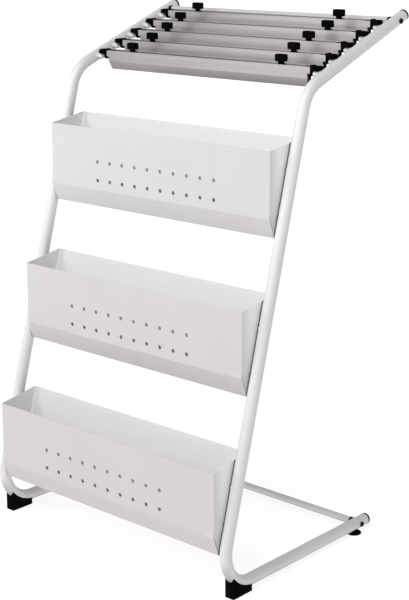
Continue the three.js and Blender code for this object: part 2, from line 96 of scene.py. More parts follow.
class Tone:
    """A value that changes over a surface: one socket of a finish's node tree."""

    def __init__(self, tree, socket=None):
        self.tree = tree
        self.socket = socket

    def make(self, kind, settings, sockets, output=0):
        """Adds a node, sets its settings, then gives each named socket a number, a colour or a link."""
        node = self.tree.nodes.new(kind)
        for key, value in settings.items():
            setattr(node, key, value)
        for key, value in sockets.items():
            if isinstance(value, Tone):
                self.tree.links.new(value.socket, node.inputs[key])
            else:
                node.inputs[key].default_value = value
        return Tone(self.tree, node.outputs[output])

    def maths(self, operation, first, second):
        """A Math node on two values, of which either may be a plain number."""
        return self.make("ShaderNodeMath", {"operation": operation}, {0: first, 1: second})

    def __add__(self, other):
        return self.maths("ADD", self, other)

    def __radd__(self, other):
        return self.maths("ADD", other, self)

    def __sub__(self, other):
        return self.maths("SUBTRACT", self, other)

    def __rsub__(self, other):
        return self.maths("SUBTRACT", other, self)

    def __mul__(self, other):
        return self.maths("MULTIPLY", self, other)

    def __rmul__(self, other):
        return self.maths("MULTIPLY", other, self)

    def above(self, low, high):
        """0 below low, 1 above high, and a smooth step between."""
        span = {"Value": self, "From Min": low, "From Max": high}
        return self.make("ShaderNodeMapRange", {"interpolation_type": "SMOOTHSTEP"}, span)

    def blend(self, dark, light):
        """A colour that goes from dark to light as this value goes from 0 to 1."""
        return self.make("ShaderNodeMix", {"data_type": "RGBA"}, {0: self, 6: dark, 7: light}, 2)

    def mark(self, name):
        """A value that was stored on the piece's own points."""
        return self.make("ShaderNodeAttribute", {"attribute_name": name}, {}, "Fac")

    def noise(self, place, stretch, scale, detail=2.0):
        """Cloudy noise about 1 / scale metres across, drawn out where stretch is small."""
        stretched = self.make("ShaderNodeMapping", {}, {"Vector": place, "Scale": stretch})
        return self.make("ShaderNodeTexNoise", {}, {"Vector": stretched, "Scale": scale, "Detail": detail})


EVEN = (1.0, 1.0, 1.0)


def new_finish(name, metallic=0.0):
    """Starts a finish: its material, its shader, a Tone to build from and the object coordinates."""
    material = bpy.data.materials.new(name)
    material.use_nodes = True
    shader = material.node_tree.nodes["Principled BSDF"]
    shader.inputs["Metallic"].default_value = metallic
    tone = Tone(material.node_tree)
    place = tone.make("ShaderNodeTexCoord", {}, {}, "Object")
    return material, shader, tone, place


def lay_on(shader, tone, colour, roughness, height, depth):
    """Links a colour, a roughness and a surface relief of the given depth in millimetres to the shader."""
    tone.tree.links.new(colour.socket, shader.inputs["Base Color"])
    tone.tree.links.new(roughness.socket, shader.inputs["Roughness"])
    bump = tone.make("ShaderNodeBump", {}, {"Strength": 1.0, "Distance": depth * MM, "Height": height})
    tone.tree.links.new(bump.socket, shader.inputs["Normal"])


# %% [markdown]
# White powder coat covers the tubes and the pockets. The powder melts into a skin with a fine orange peel,
# about a millimetre from crest to crest, that spreads the reflections of the studio.
# One noise makes the peel, and a slow one lets the white drift a little, as thick and thin coats do.
# Marks on the pieces paint light and shade into the colour: painted light up the posts' fronts, on the pegs
# and inside the pockets, and painted shade on the lower pockets' fronts, under the tubes, and in the narrow
# gap between a pocket's end and the post, where hardly any light gets in.
# Both faces of a sheet share their marks, so a point's place tells the inner face from the outer one.
# A painted image could hold the same shades, but values on the points need no unwrapping.

# %% White powder coat
OUTER_FACE = (0.3217, 0.3222)
POST_WALL = (0.3256, 0.3260)
BACK_WAY = (0.0, 1.0, -0.2717)
BACK_WALL = (-0.2801, -0.2796)
# GAP_FADE sets where the painted gap shadow fades out, in square millimetres off the post line.
GAP_FADE = (3.0, 24.0)
INNER_GAIN = 1.6
COAT_THIN = (0.645, 0.632, 0.626, 1)
COAT_THICK = (0.670, 0.659, 0.654, 1)
# The lightest white is painted light. The darker whites are painted shade on the lower pockets' fronts, under
# the tubes and in the gap beside a post.
COAT_PAINTED_LIGHT = (0.92, 0.91, 0.90, 1)
COAT_PAINTED_SHADE = (0.50, 0.455, 0.448, 1)
COAT_UNDER_SHADE = (0.31, 0.30, 0.295, 1)
COAT_GAP_SHADE = (0.12, 0.113, 0.113, 1)


def white_powder_coat():
    """The drift sets the white, the marks blend it towards painted light and painted shade, and the peel is
    its relief.
    """
    material, shader, tone, place = new_finish("white_powder_coat")
    peel = tone.noise(place, EVEN, 620.0, 3.0)
    drift = tone.noise(place, EVEN, 5.0, 3.0)
    coat = drift.above(0.3, 0.7).blend(COAT_THIN, COAT_THICK)
    across = tone.make("ShaderNodeSeparateXYZ", {}, {"Vector": place}, "X")
    square = across * across
    outside = square.above(OUTER_FACE[0] ** 2, OUTER_FACE[1] ** 2)
    depth = tone.make("ShaderNodeVectorMath", {"operation": "DOT_PRODUCT"}, {0: place, 1: BACK_WAY}, 1)
    # Painted light inside the pockets: stronger on the faces within the end flaps and left off the back
    # panel's rear face.
    inner = (INNER_GAIN - (INNER_GAIN - 1) * outside) * (1 - depth.above(*BACK_WALL))
    lighter = tone.mark("lighter") + tone.mark("inside") * inner
    # Painted shade on the lower two pockets' fronts and slanted bottoms.
    darker = tone.mark("darker").blend(coat, COAT_PAINTED_SHADE)
    lit = lighter.blend(darker, COAT_PAINTED_LIGHT)
    # Painted shade under the tubes.
    under_shaded = tone.mark("under").blend(lit, COAT_UNDER_SHADE)
    # Painted shadow in the narrow gap between a pocket's end and the post, and on the bosses and pins there.
    beside = tone.mark("beside_post")
    between = outside - square.above(POST_WALL[0] ** 2, POST_WALL[1] ** 2)
    gap = between * (1 - (beside * beside).above(*GAP_FADE))
    colour = gap.blend(under_shaded, COAT_GAP_SHADE)
    roughness = 0.33 + 0.08 * peel + 0.06 * drift
    shader.inputs["Specular IOR Level"].default_value = 0.5
    lay_on(shader, tone, colour, roughness, peel, 0.05)
    return material


# %% [markdown]
# The sticks are extruded aluminium with a natural anodised finish. The die leaves fine lines along the
# length, and they show as streaks that are a little rougher and darker than the metal beside them.
# A noise drawn out along X by several hundred times gives lines that follow the extrusion.

# %% Anodised aluminium
DRAWN_LINES = (0.004, 1.0, 1.0)
DRAWN_BANDS = (0.01, 1.0, 1.0)
METAL_DARK = (0.41, 0.385, 0.39, 1)
METAL_LIGHT = (0.63, 0.60, 0.605, 1)
# The lips' darker metal is painted shade.
METAL_LIP_SHADE = (0.30, 0.28, 0.28, 1)


def anodised_aluminium():
    """Two drawn-out noises make the streaks, and a slow rise along X lightens the metal towards +X. The lips
    blend to a darker metal as painted shade.
    """
    material, shader, tone, place = new_finish("anodised_aluminium", metallic=0.55)
    lines = tone.noise(place, DRAWN_LINES, 900.0, 4.0)
    bands = tone.noise(place, DRAWN_BANDS, 160.0, 2.0)
    cloud = tone.noise(place, EVEN, 14.0, 2.0)
    along = tone.make("ShaderNodeSeparateXYZ", {}, {"Vector": place}, "X")
    # The last term is a slow rise along X that makes the metal lighter towards +X.
    streaks_and_rise = 0.55 * lines + 0.45 * bands + 0.25 * along.above(-0.3, 0.3)
    face = streaks_and_rise.above(0.3, 0.95).blend(METAL_DARK, METAL_LIGHT)
    # Painted shade on the lips, which face down, and a little on the front stick's upright faces.
    colour = tone.mark("lip").blend(face, METAL_LIP_SHADE)
    roughness = 0.27 + 0.12 * lines + 0.05 * cloud
    lay_on(shader, tone, colour, roughness, lines, 0.012)
    return material


# %% [markdown]
# The hooks, knobs, plugs, washers and glides are moulded in black plastic, the front feet in softer rubber.
# Both leave the mould with a spark-eroded grain. The rubber's grain is coarser and its surface far duller,
# so one function makes both from a tint, a grain and a dullness.

# %% Black mouldings


def black_moulding(name, tint, grain, dull, gloss):
    """Pits roughen the surface and are its relief; scuffs lighten the tint where they are strong."""
    material, shader, tone, place = new_finish(name)
    pits = tone.noise(place, EVEN, grain, 2.0)
    scuffs = tone.noise(place, EVEN, 90.0, 5.0)
    pale = tuple(2.2 * value for value in tint)
    colour = scuffs.above(0.52, 0.8).blend((*tint, 1), (*pale, 1))
    roughness = dull + 0.18 * pits + 0.10 * scuffs
    shader.inputs["Specular IOR Level"].default_value = gloss
    lay_on(shader, tone, colour, roughness, pits, 0.03)
    return material


# %% [markdown]
# The screws are blackened steel: a thin oxide over metal that has worn through to grey in small specks.
# One fine noise sets the specks, their duller shine and the relief, so the three always fall together.

# %% Blackened screws


def blackened_screw():
    """Where the specks pass a threshold the black turns grey, and the roughness grows with them."""
    material, shader, tone, place = new_finish("blackened_screw", metallic=1.0)
    specks = tone.noise(place, EVEN, 1500.0, 4.0)
    colour = specks.above(0.6, 0.75).blend((0.022, 0.022, 0.024, 1), (0.12, 0.12, 0.12, 1))
    roughness = 0.30 + 0.25 * specks
    lay_on(shader, tone, colour, roughness, specks, 0.01)
    return material


finishes = {
    "white_powder_coat": white_powder_coat(),
    "anodised_aluminium": anodised_aluminium(),
    "black_plastic": black_moulding("black_plastic", (0.0036, 0.0036, 0.0038), 2600.0, 0.30, 0.0),
    "black_rubber": black_moulding("black_rubber", (0.0042, 0.0040, 0.0038), 1500.0, 0.52, 0.0),
    "blackened_screw": blackened_screw(),
}
print("finishes:", ", ".join(finishes))

# %% [markdown]
# Four ways of making cover nearly every piece of the rack: a line with rounded corners, a grid of points
# turned into faces, an outline carried along a straight line with its rims rolled over, and a profile turned
# on a lathe. Each one is a formula on whole arrays, so a piece is a few lines of its own sizes.

# %% Lines and outlines with rounded corners


def rounded_line(corners, radii, step=7.5):
    """Points and unit tangents of a line whose inner corners are arcs. Each arc starts radius * tan(turn / 2)
    before its corner and turns at a steady rate; a radius of 0 keeps the corner as one point."""
    corners = np.asarray(corners, float)
    ways = np.diff(corners, axis=0)
    ways /= np.linalg.norm(ways, axis=1)[:, None]
    points = [corners[:1]]
    tangents = [ways[:1]]
    for corner, before, after, radius in zip(corners[1:-1], ways[:-1], ways[1:], radii):
        if radius == 0:
            points.append(corner[None])
            tangents.append((before + after)[None] / np.linalg.norm(before + after))
            continue
        turn = math.atan2(before[0] * after[1] - before[1] * after[0], before @ after)
        left = np.array([-before[1], before[0]]) * np.sign(turn)
        start = corner - before * radius * math.tan(abs(turn) / 2)
        count = max(2, math.ceil(math.degrees(abs(turn)) / step))
        angle = np.linspace(0, abs(turn), count + 1)[:, None]
        points.append(start + radius * (np.sin(angle) * before + (1 - np.cos(angle)) * left))
        tangents.append(np.cos(angle) * before + np.sin(angle) * left)
    points.append(corners[-1:])
    tangents.append(ways[-1:])
    return np.concatenate(points), np.concatenate(tangents)


def rounded_outline(corners, radii, step=15.0):
    """A closed outline with rounded corners, counterclockwise, and its outward normals."""
    corners = np.asarray(corners, float)
    meet = (corners[:1] + corners[-1:]) / 2
    points, tangents = rounded_line(np.concatenate([meet, corners, meet]), radii, step)
    return points[:-1], np.stack([tangents[:-1, 1], -tangents[:-1, 0]], axis=1)


# %% Lattices and bars


def lattice(grid, close_rows=False, close_columns=False, keep=None):
    """Four-sided faces between the neighbours of a grid of points: rows by columns by xyz."""
    rows, columns = grid.shape[:2]
    index = np.arange(rows * columns).reshape(rows, columns)
    index = np.concatenate([index, index[:1]]) if close_rows else index
    index = np.concatenate([index, index[:, :1]], axis=1) if close_columns else index
    quads = np.stack([index[:-1, :-1], index[1:, :-1], index[1:, 1:], index[:-1, 1:]], axis=-1)
    quads = quads.reshape(-1, 4) if keep is None else quads[keep]
    return grid.reshape(-1, 3), quads.tolist()


def capped(points, faces, count):
    """Closes the first and the last ring of count points with a face each."""
    return points, faces + [list(range(count)), list(range(len(points) - count, len(points)))]


def rounded_bar(outline, outward, start, end, edge, order):
    """An outline carried from start to end. At each rim it steps in along its normals by edge * (1 - cos a)
    while it reaches out by edge * sin a, so the rim is a quarter circle. order sorts (first, second, along)
    into xyz."""
    angle = np.linspace(0, math.pi / 2, 4)
    inset = edge * (1 - np.cos(angle))
    reach = edge * (1 - np.sin(angle))
    insets = np.concatenate([inset[::-1], inset])
    along = np.concatenate([start + reach[::-1], end - reach])
    rings = outline[None] - outward[None] * insets[:, None, None]
    depth = np.broadcast_to(along[:, None, None], (*rings.shape[:2], 1))
    skin = lattice(np.concatenate([rings, depth], axis=2)[..., order], close_columns=True)
    return capped(*skin, len(outline))


ALONG_X = [2, 0, 1]
ALONG_Y = [0, 2, 1]

# %% Turnings and arcs


def full_turn(sides):
    """Angles of points spaced evenly round a ring."""
    return np.linspace(0, 2 * math.pi, sides, endpoint=False)


def turned(profile, centre, axis, sides=40, close_rows=False, socket_rows=0):
    """A profile of (radius, distance) turned about an axis. The last socket_rows points are six-sided: there
    the radius is divided by cos of the angle to the middle of the nearest flat."""
    radius, along = np.asarray(profile, float).T
    axis = np.asarray(axis, float)
    first = np.cross(axis, [0.0, 0.0, 1.0] if abs(axis[2]) < 0.9 else [1.0, 0.0, 0.0])
    first /= np.linalg.norm(first)
    second = np.cross(axis, first)
    angle = full_turn(sides)
    flat = np.cos(np.mod(angle, math.pi / 3) - math.pi / 6)
    six_sided = (np.arange(len(radius)) >= len(radius) - socket_rows)[:, None]
    spread = np.where(six_sided, radius[:, None] / flat, radius[:, None])
    ring = np.cos(angle)[:, None] * first + np.sin(angle)[:, None] * second
    grid = np.asarray(centre, float) + along[:, None, None] * axis + spread[:, :, None] * ring
    return lattice(grid, close_rows=close_rows, close_columns=True)


def arc(centre, radii, start, end, count=7):
    """Points of an ellipse's arc, angles in degrees."""
    angle = np.radians(np.linspace(start, end, count))
    return np.stack([centre[0] + radii[0] * np.cos(angle), centre[1] + radii[1] * np.sin(angle)], axis=1)


# %% [markdown]
# Every piece ends the same way: its shells are joined into one mesh in metres, doubled points at seams and
# poles are merged, its faces are turned outwards, and it takes the place of its plain solid on the same body.
# Sheet metal is drawn as the middle of its thickness, and Solidify then gives it both faces and its edges.
# A narrow bevel rounds those edges, and weighted normals keep broad faces flat beside it.

# %% Setting a piece in the frame
RAIL_LENGTH = 497.0
PLUG_HEAD = 6.5
MIDDLE_Y = RAIL_LENGTH + PLUG_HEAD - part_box("rail_plug_right")[1].y / MM
MIRRORED = np.array([-1.0, 1.0, 1.0])


def set_piece(making, node, shells, finish, wall=0.0, edge=0.0, mirrored=False, shift=0.0, marks=()):
    """Joins shells drawn with Y = 0 on the post line into the piece that stands for a solid. marks are pairs
    of a name and a formula that gives every point a value from its place and its normal. The finish reads the
    values by that name."""
    starts = np.cumsum([0] + [len(points) for points, _ in shells])
    points = np.concatenate([points for points, _ in shells]) * (MIRRORED if mirrored else 1.0)
    faces = [[start + corner for corner in face] for start, (_, part) in zip(starts, shells) for face in part]
    mesh = bpy.data.meshes.new(making + "_" + node)
    mesh.from_pydata(((points + [shift, -MIDDLE_Y, 0]) * MM).tolist(), [], faces)
    work = bmesh.new()
    work.from_mesh(mesh)
    bmesh.ops.remove_doubles(work, verts=work.verts, dist=0.002 * MM)
    loose = [vertex for vertex in work.verts if not vertex.link_faces]
    bmesh.ops.delete(work, geom=loose, context="VERTS")
    bmesh.ops.recalc_face_normals(work, faces=work.faces)
    work.to_mesh(mesh)
    work.free()
    places = np.zeros(3 * len(mesh.vertices))
    normals = np.zeros(3 * len(mesh.vertices))
    mesh.vertices.foreach_get("co", places)
    mesh.vertex_normals.foreach_get("vector", normals)
    for name, formula in marks:
        values = formula(places.reshape(-1, 3) / MM, normals.reshape(-1, 3))
        mesh.attributes.new(name, "FLOAT", "POINT").data.foreach_set("value", values)
    mesh.shade_smooth()
    mesh.set_sharp_from_angle(angle=math.radians(35))
    mesh.materials.append(finishes[finish])
    piece = bpy.data.objects.new(mesh.name, mesh)
    bpy.context.scene.collection.objects.link(piece)
    if wall:
        thick = piece.modifiers.new("thickness", "SOLIDIFY")
        thick.thickness = wall * MM
        thick.offset = 0.0
        thick.use_even_offset = True
    if edge:
        bevel = piece.modifiers.new("cut_edges", "BEVEL")
        bevel.width = edge * MM
        bevel.segments = 2
        bevel.limit_method = "ANGLE"
        bevel.angle_limit = math.radians(50)
        piece.modifiers.new("flat_faces", "WEIGHTED_NORMAL").keep_sharp = False
    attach(piece, body_of[node])
    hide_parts(node)


def set_pair(making, node, shells, finish, **options):
    """The right-hand piece as drawn, and its mirror image on the left."""
    set_piece(making, node + "_right", shells, finish, **options)
    set_piece(making, node + "_left", shells, finish, mirrored=True, **options)


# %% [markdown]
# Each side frame is one steel tube with two bends: a rail on the floor, a post that leans back, and an arm
# that rises to the rear. A ring of points carried along the bent line makes the skin; the bore runs back
# inside it, so the tube closes over its rims. A bevelled curve could draw the tube too, but arrays keep skin,
# bore, rims and welds in one mesh. Pegs, bosses and pins are welded on.
# A weld is a small fillet that follows the tube's curve. At a distance r sin(a) off the tube's axis, the wall
# lies sqrt(R^2 - (r sin a)^2) from it, so the fillet's rings start on that saddle line and rise from it.

# %% Sizes of the side frames
TUBE_RADIUS = 12.7
TUBE_WALL = 1.6
FRAME_X = 339.0
RAIL_HEIGHT = 20.4
POST_LENGTH = 1028.0
POST_LEAN = math.radians(15.2)
ARM_LENGTH = 359.0
ARM_RISE = math.radians(21.8)
BEND_RADIUS = 75.0
POST_WAY = np.array([math.sin(POST_LEAN), math.cos(POST_LEAN)])
ARM_WAY = np.array([math.cos(ARM_RISE), math.sin(ARM_RISE)])
POST_FOOT = np.array([0.0, RAIL_HEIGHT])
ARM_FOOT = POST_FOOT + POST_LENGTH * POST_WAY
INNER_X = FRAME_X - TUBE_RADIUS

PEG_RADIUS = 6.5
PEG_UP = 2.0
PEG_REACH = 17.0
PEG_TIP = (6.5, 4.5)
PEG_FIRST = 64.7
PEG_PITCH = 56.1
STICKS = 5
peg_places = [ARM_FOOT + (PEG_FIRST + i * PEG_PITCH) * ARM_WAY for i in range(STICKS)]

POCKETS = ("lower", "middle", "upper")
POCKET_FIRST = 144.0
POCKET_PITCH = 324.0
POCKET_X = INNER_X - 3.8
SHEET = 1.2
SEAT = 0.3
BOSS_UP = 72.0
BOSS_RADIUS = 5.0
PIN_DOWN = 26.0
PIN_RADIUS = 3.0
pocket_places = [POST_FOOT + (POCKET_FIRST + i * POCKET_PITCH) * POST_WAY for i in range(len(POCKETS))]
print("arms start at", np.round(ARM_FOOT, 1), "with", len(peg_places), "pegs on each")

# %% Bent tube and welded stubs


def bent_tube(line, tangents, radius, wall, sides=48):
    """centre + radius * (cos a * across + sin a * X): the skin forwards, then the bore backwards."""
    across = np.stack([-tangents[:, 1], tangents[:, 0]], axis=1)
    angle = full_turn(sides)
    side = np.stack([np.sin(angle), 0 * angle, 0 * angle], axis=1)
    turn = np.cos(angle)[None, :, None] * np.pad(across, ((0, 0), (1, 0)))[:, None, :] + side[None]
    centre = np.pad(line, ((0, 0), (1, 0)), constant_values=0)[:, None, :] + [FRAME_X, 0, 0]
    skin = centre + radius * turn
    bore = centre + (radius - wall) * turn
    return lattice(np.concatenate([skin, bore[::-1]]), close_rows=True, close_columns=True)


def welded_stub(place, way, radius, tip_x, fillet, tip_round, lift=0.0, sides=32):
    """A round stub on the tube's inner side: a fillet that starts on the saddle line, a straight shank and a
    tip rounded by an ellipse. way is the tube's direction in (y, z); lift raises the stub off its line."""
    angle = full_turn(sides)
    along = np.array([0.0, way[0], way[1]])
    across = np.array([0.0, -way[1], way[0]])
    ring = np.cos(angle)[:, None] * along + np.sin(angle)[:, None] * across
    flare = np.radians(np.linspace(0, 90, 6))
    foot_radius = radius + fillet * (1 - np.sin(flare))
    off_axis = foot_radius[:, None] * np.sin(angle) + lift * way[0]
    wall_x = FRAME_X - np.sqrt(TUBE_RADIUS**2 - off_axis**2)
    foot_x = wall_x - fillet * (1 - np.cos(flare))[:, None]
    tip = arc((radius - tip_round[0], tip_x + tip_round[1]), tip_round, 0, -90, 8)
    rows_radius = np.concatenate([[foot_radius[0]], foot_radius, tip[:, 0], [0.0]])
    tip_rows = np.broadcast_to(np.append(tip[:, 1], tip_x)[:, None], (len(tip) + 1, sides))
    rows_x = np.concatenate([foot_x[:1] + TUBE_WALL / 2, foot_x, tip_rows])
    grid = rows_radius[:, None, None] * ring + np.array([0.0, place[0], place[1] + lift])
    grid[:, :, 0] = rows_x
    points, faces = lattice(grid, close_columns=True)
    return points, faces + [list(range(sides))]


# %% [markdown]
# Plain studio light does not give all of the photograph's shades, so marks on the paint carry the rest.
# These marks are painted light and shade: a tube is painted darker underneath, a post's front is painted
# lighter towards its top and the pegs are painted lighter, and the narrow gap beside a pocket's end is painted
# dark as a shadow. Each mark is a formula of a point's place and normal.

# %% Painted light and shade on the frames' paint
UNDER_START = 0.1
UNDER_SPAN = 0.6
ARM_BEND_BELOW = 60.0
POST_FADE = 30.0
POST_PAINTED_LIGHT = (0.25, 0.6)
PEG_PAINTED_LIGHT = 0.9


def painted_under_shade(places, normals):
    """Painted shade: 0 on a tube's upper half and sides, and up to 1 where it faces the floor."""
    return np.clip((-normals[:, 2] - UNDER_START) / UNDER_SPAN, 0, 1)


def beside_post(places, normals):
    """Distance in Y from the posts' middle line."""
    return places[:, 1] + MIDDLE_Y - (places[:, 2] - RAIL_HEIGHT) * math.tan(POST_LEAN)


def beside_frame(places, normals):
    """As beside_post, but 0 on the bosses and pins, which stand in the gap, so they take the painted gap
    shadow in full.
    """
    in_gap = (np.abs(places[:, 0]) < INNER_X - 0.05) & (places[:, 2] < ARM_FOOT[1] - ARM_BEND_BELOW)
    return np.where(in_gap, 0.0, beside_post(places, normals))


def painted_front_light(places, normals):
    """Painted light: grows up the fronts of the posts, is high on the pegs, and 0 on the rails and arms."""
    on_post = np.clip(1.5 - np.abs(beside_post(places, normals)) / POST_FADE, 0, 1)
    height = POST_PAINTED_LIGHT[0] + POST_PAINTED_LIGHT[1] * places[:, 2] / ARM_FOOT[1]
    front = np.clip(-normals[:, 1], 0, 1) ** 1.5 * on_post * height
    peg = (np.abs(places[:, 0]) < INNER_X - 1.0) & (places[:, 2] > ARM_FOOT[1])
    return np.where(peg, PEG_PAINTED_LIGHT, front)


# %% Both side frames
line, tangents = rounded_line(
    [[RAIL_LENGTH, RAIL_HEIGHT], POST_FOOT, ARM_FOOT, ARM_FOOT + ARM_LENGTH * ARM_WAY],
    [BEND_RADIUS, BEND_RADIUS],
    step=3.0,
)
frame_shells = [bent_tube(line, tangents, TUBE_RADIUS, TUBE_WALL)]
peg_tip = INNER_X - PEG_REACH
for place in peg_places:
    frame_shells.append(welded_stub(place, ARM_WAY, PEG_RADIUS, peg_tip, 0.9, PEG_TIP, lift=PEG_UP))
for place in pocket_places:
    boss = place + BOSS_UP * POST_WAY
    pin = place - PIN_DOWN * POST_WAY
    frame_shells.append(welded_stub(boss, POST_WAY, BOSS_RADIUS, POCKET_X + SEAT, 0.7, (0.4, 0.4)))
    frame_shells.append(welded_stub(pin, POST_WAY, PIN_RADIUS, POCKET_X - SHEET + 0.2, 1.0, (0.6, 0.6)))
# The frames carry painted shade underneath, the painted gap shadow and painted light on the posts and pegs.
frame_marks = [("under", painted_under_shade), ("beside_post", beside_frame), ("lighter", painted_front_light)]
set_pair("bent", "side_frame", frame_shells, "white_powder_coat", marks=frame_marks)
print("side frames: line of", len(line), "stations,", len(frame_shells), "shells each")

# %% [markdown]
# Black plugs close the tubes' open ends: a stem that grips the bore and a thick head as wide as the tube,
# with a rolled rim and a slightly crowned face. The plug is one profile turned on the tube's own axis, which
# gives stem, shoulder, rim and crown at once, where a bevelled cylinder would give the head alone.

# %% End plugs
PLUG_STEM = 14.0
PLUG_EDGE = 1.5
stem_radius = TUBE_RADIUS - TUBE_WALL - 0.5
plug_profile = np.concatenate(
    [
        [[0, -PLUG_STEM], [stem_radius - 0.8, -PLUG_STEM], [stem_radius, 2 - PLUG_STEM], [stem_radius, SEAT]],
        [[TUBE_RADIUS - 0.5, SEAT]],
        arc((TUBE_RADIUS - 0.35, SEAT + 0.35), (0.35, 0.35), -90, 0, 4),
        arc((TUBE_RADIUS - PLUG_EDGE, PLUG_HEAD - 0.4 - PLUG_EDGE), (PLUG_EDGE, PLUG_EDGE), 0, 80, 7),
        [[0, PLUG_HEAD]],
    ]
)
rail_end = (FRAME_X, RAIL_LENGTH, RAIL_HEIGHT)
arm_end = (FRAME_X, *(ARM_FOOT + ARM_LENGTH * ARM_WAY))
set_pair("moulded", "rail_plug", [turned(plug_profile, rail_end, (0, 1, 0))], "black_plastic")
set_pair("moulded", "arm_plug", [turned(plug_profile, arm_end, (0, *ARM_WAY))], "black_plastic")
print("plugs: a profile of", len(plug_profile), "points")

# %% [markdown]
# Two thin cross tubes hold the side frames apart. A black saddle washer at each end is flat towards the cross
# tube and hollowed towards the frame, and a blackened screw passes through frame and washer into the tube.
# The hollow is the same saddle formula as the welds: the wall of a cylinder seen along the screw. A boolean
# cut could make it as well, but the formula leaves even rings.

# %% Sizes of the cross tubes
CROSS_RADIUS = 7.8
CROSS_WALL = 1.2
CROSS_INSET = 26.5
SADDLE_RADIUS = 8.5
SADDLE_THICKNESS = 6.0
SCREW_RADIUS = 3.0
SCREW_HEAD = 6.2
SCREW_DOME = 3.6
SCREW_BITE = 12.0
cross_half = INNER_X - SADDLE_THICKNESS - SEAT
cross_profile = np.concatenate(
    [
        arc((CROSS_RADIUS - 0.5, -cross_half + 0.5), (0.5, 0.5), -90, 0, 4),
        arc((CROSS_RADIUS - 0.5, cross_half - 0.5), (0.5, 0.5), 0, 90, 4),
        [[CROSS_RADIUS - CROSS_WALL, cross_half], [CROSS_RADIUS - CROSS_WALL, -cross_half]],
    ]
)
cross_places = {
    "base": (np.array([RAIL_LENGTH - CROSS_INSET, RAIL_HEIGHT]), np.array([1.0, 0.0])),
    "top": (ARM_FOOT + (ARM_LENGTH - CROSS_INSET) * ARM_WAY, ARM_WAY),
}
print("cross tubes:", round(2 * cross_half, 1), "mm long")

# %% Saddle washers and screws


def saddle_washer(place, way, sides=48):
    """Rings from the bore out: the flat face, the rolled rim, the outer wall, then the hollow face where
    x = frame - sqrt((R + seat)^2 - (r sin a)^2)."""
    angle = full_turn(sides)
    ring = np.cos(angle)[:, None] * [0.0, *way] + np.sin(angle)[:, None] * [0.0, -way[1], way[0]]
    flat_x = cross_half + SEAT
    rim = arc((SADDLE_RADIUS - 0.6, flat_x + 0.6), (0.6, 0.6), -90, 0, 5)
    flat_radius = np.concatenate([[SCREW_RADIUS + 0.4], rim[:, 0]])
    flat_rows = np.broadcast_to(np.append(flat_x, rim[:, 1])[:, None], (6, sides))
    hollow_radius = np.linspace(SADDLE_RADIUS, SCREW_RADIUS + 0.4, 6)
    off_axis = hollow_radius[:, None] * np.sin(angle)
    hollow_rows = FRAME_X - np.sqrt((TUBE_RADIUS + SEAT) ** 2 - off_axis**2)
    radius = np.concatenate([flat_radius, hollow_radius])
    grid = radius[:, None, None] * ring + np.array([0.0, *place])
    grid[:, :, 0] = np.concatenate([flat_rows, hollow_rows])
    return lattice(grid, close_rows=True, close_columns=True)


def button_screw(shank, head, dome, grip, place, face_x, way_x):
    """Shank, flat underside, domed head and a six-sided socket. way_x is the side that the head is on."""
    profile = np.concatenate(
        [
            [[0, -grip], [shank - 0.6, -grip], [shank, 0.6 - grip], [shank, 0], [head - 0.2, 0]],
            arc((0, dome * 0.25), (head, dome * 0.75), 0, 62, 8),
            [[head * 0.4, dome * 0.9], [head * 0.38, dome * 0.8], [head * 0.38, dome * 0.3], [0, dome * 0.3]],
        ]
    )
    return turned(profile, (face_x, *place), (way_x, 0, 0), sides=36, socket_rows=3)


# %% Both cross tubes
screw_face = FRAME_X + TUBE_RADIUS + SEAT
for where, (place, way) in cross_places.items():
    tube = turned(cross_profile, (0, *place), (1, 0, 0), close_rows=True)
    # The cross tubes take the same painted shade underneath.
    set_piece("turned", "cross_tube_" + where, [tube], "white_powder_coat", marks=[("under", painted_under_shade)])
    set_pair("moulded", "saddle_" + where, [saddle_washer(place, way)], "black_plastic")
    grip = screw_face - cross_half + SCREW_BITE
    screw = button_screw(SCREW_RADIUS, SCREW_HEAD, SCREW_DOME, grip, place, screw_face, 1)
    set_pair("turned", "cross_screw_" + where, [screw], "blackened_screw")
print("cross screws:", round(grip, 1), "mm under the head")

# %% [markdown]
# The front feet are rubber blocks under the lower bends, hollowed so that the bent tube sinks into them.
# A ring of points round the block's section is carried from front to back. The top of the section follows
# the underside of the bend, which is part of a torus: at x off its middle line, the tube reaches
# sqrt(r^2 - x^2) further down, and the bend adds its own circle. So the rubber fits the tube without a cut.

# %% Front feet
FOOT_HALF = 12.0
FOOT_AHEAD = 65.0
FOOT_BEHIND = 6.0
FOOT_EDGE = 2.2
FOOT_ROLL = 1.4
bend_reach = BEND_RADIUS * math.tan((math.pi / 2 + POST_LEAN) / 2)


def bend_underside(x, y):
    """Height of the underside of the lower bend above the floor, with its seat."""
    reach = BEND_RADIUS + np.sqrt((TUBE_RADIUS + SEAT) ** 2 - x**2)
    return RAIL_HEIGHT + BEND_RADIUS - np.sqrt(reach**2 - (bend_reach - y) ** 2)


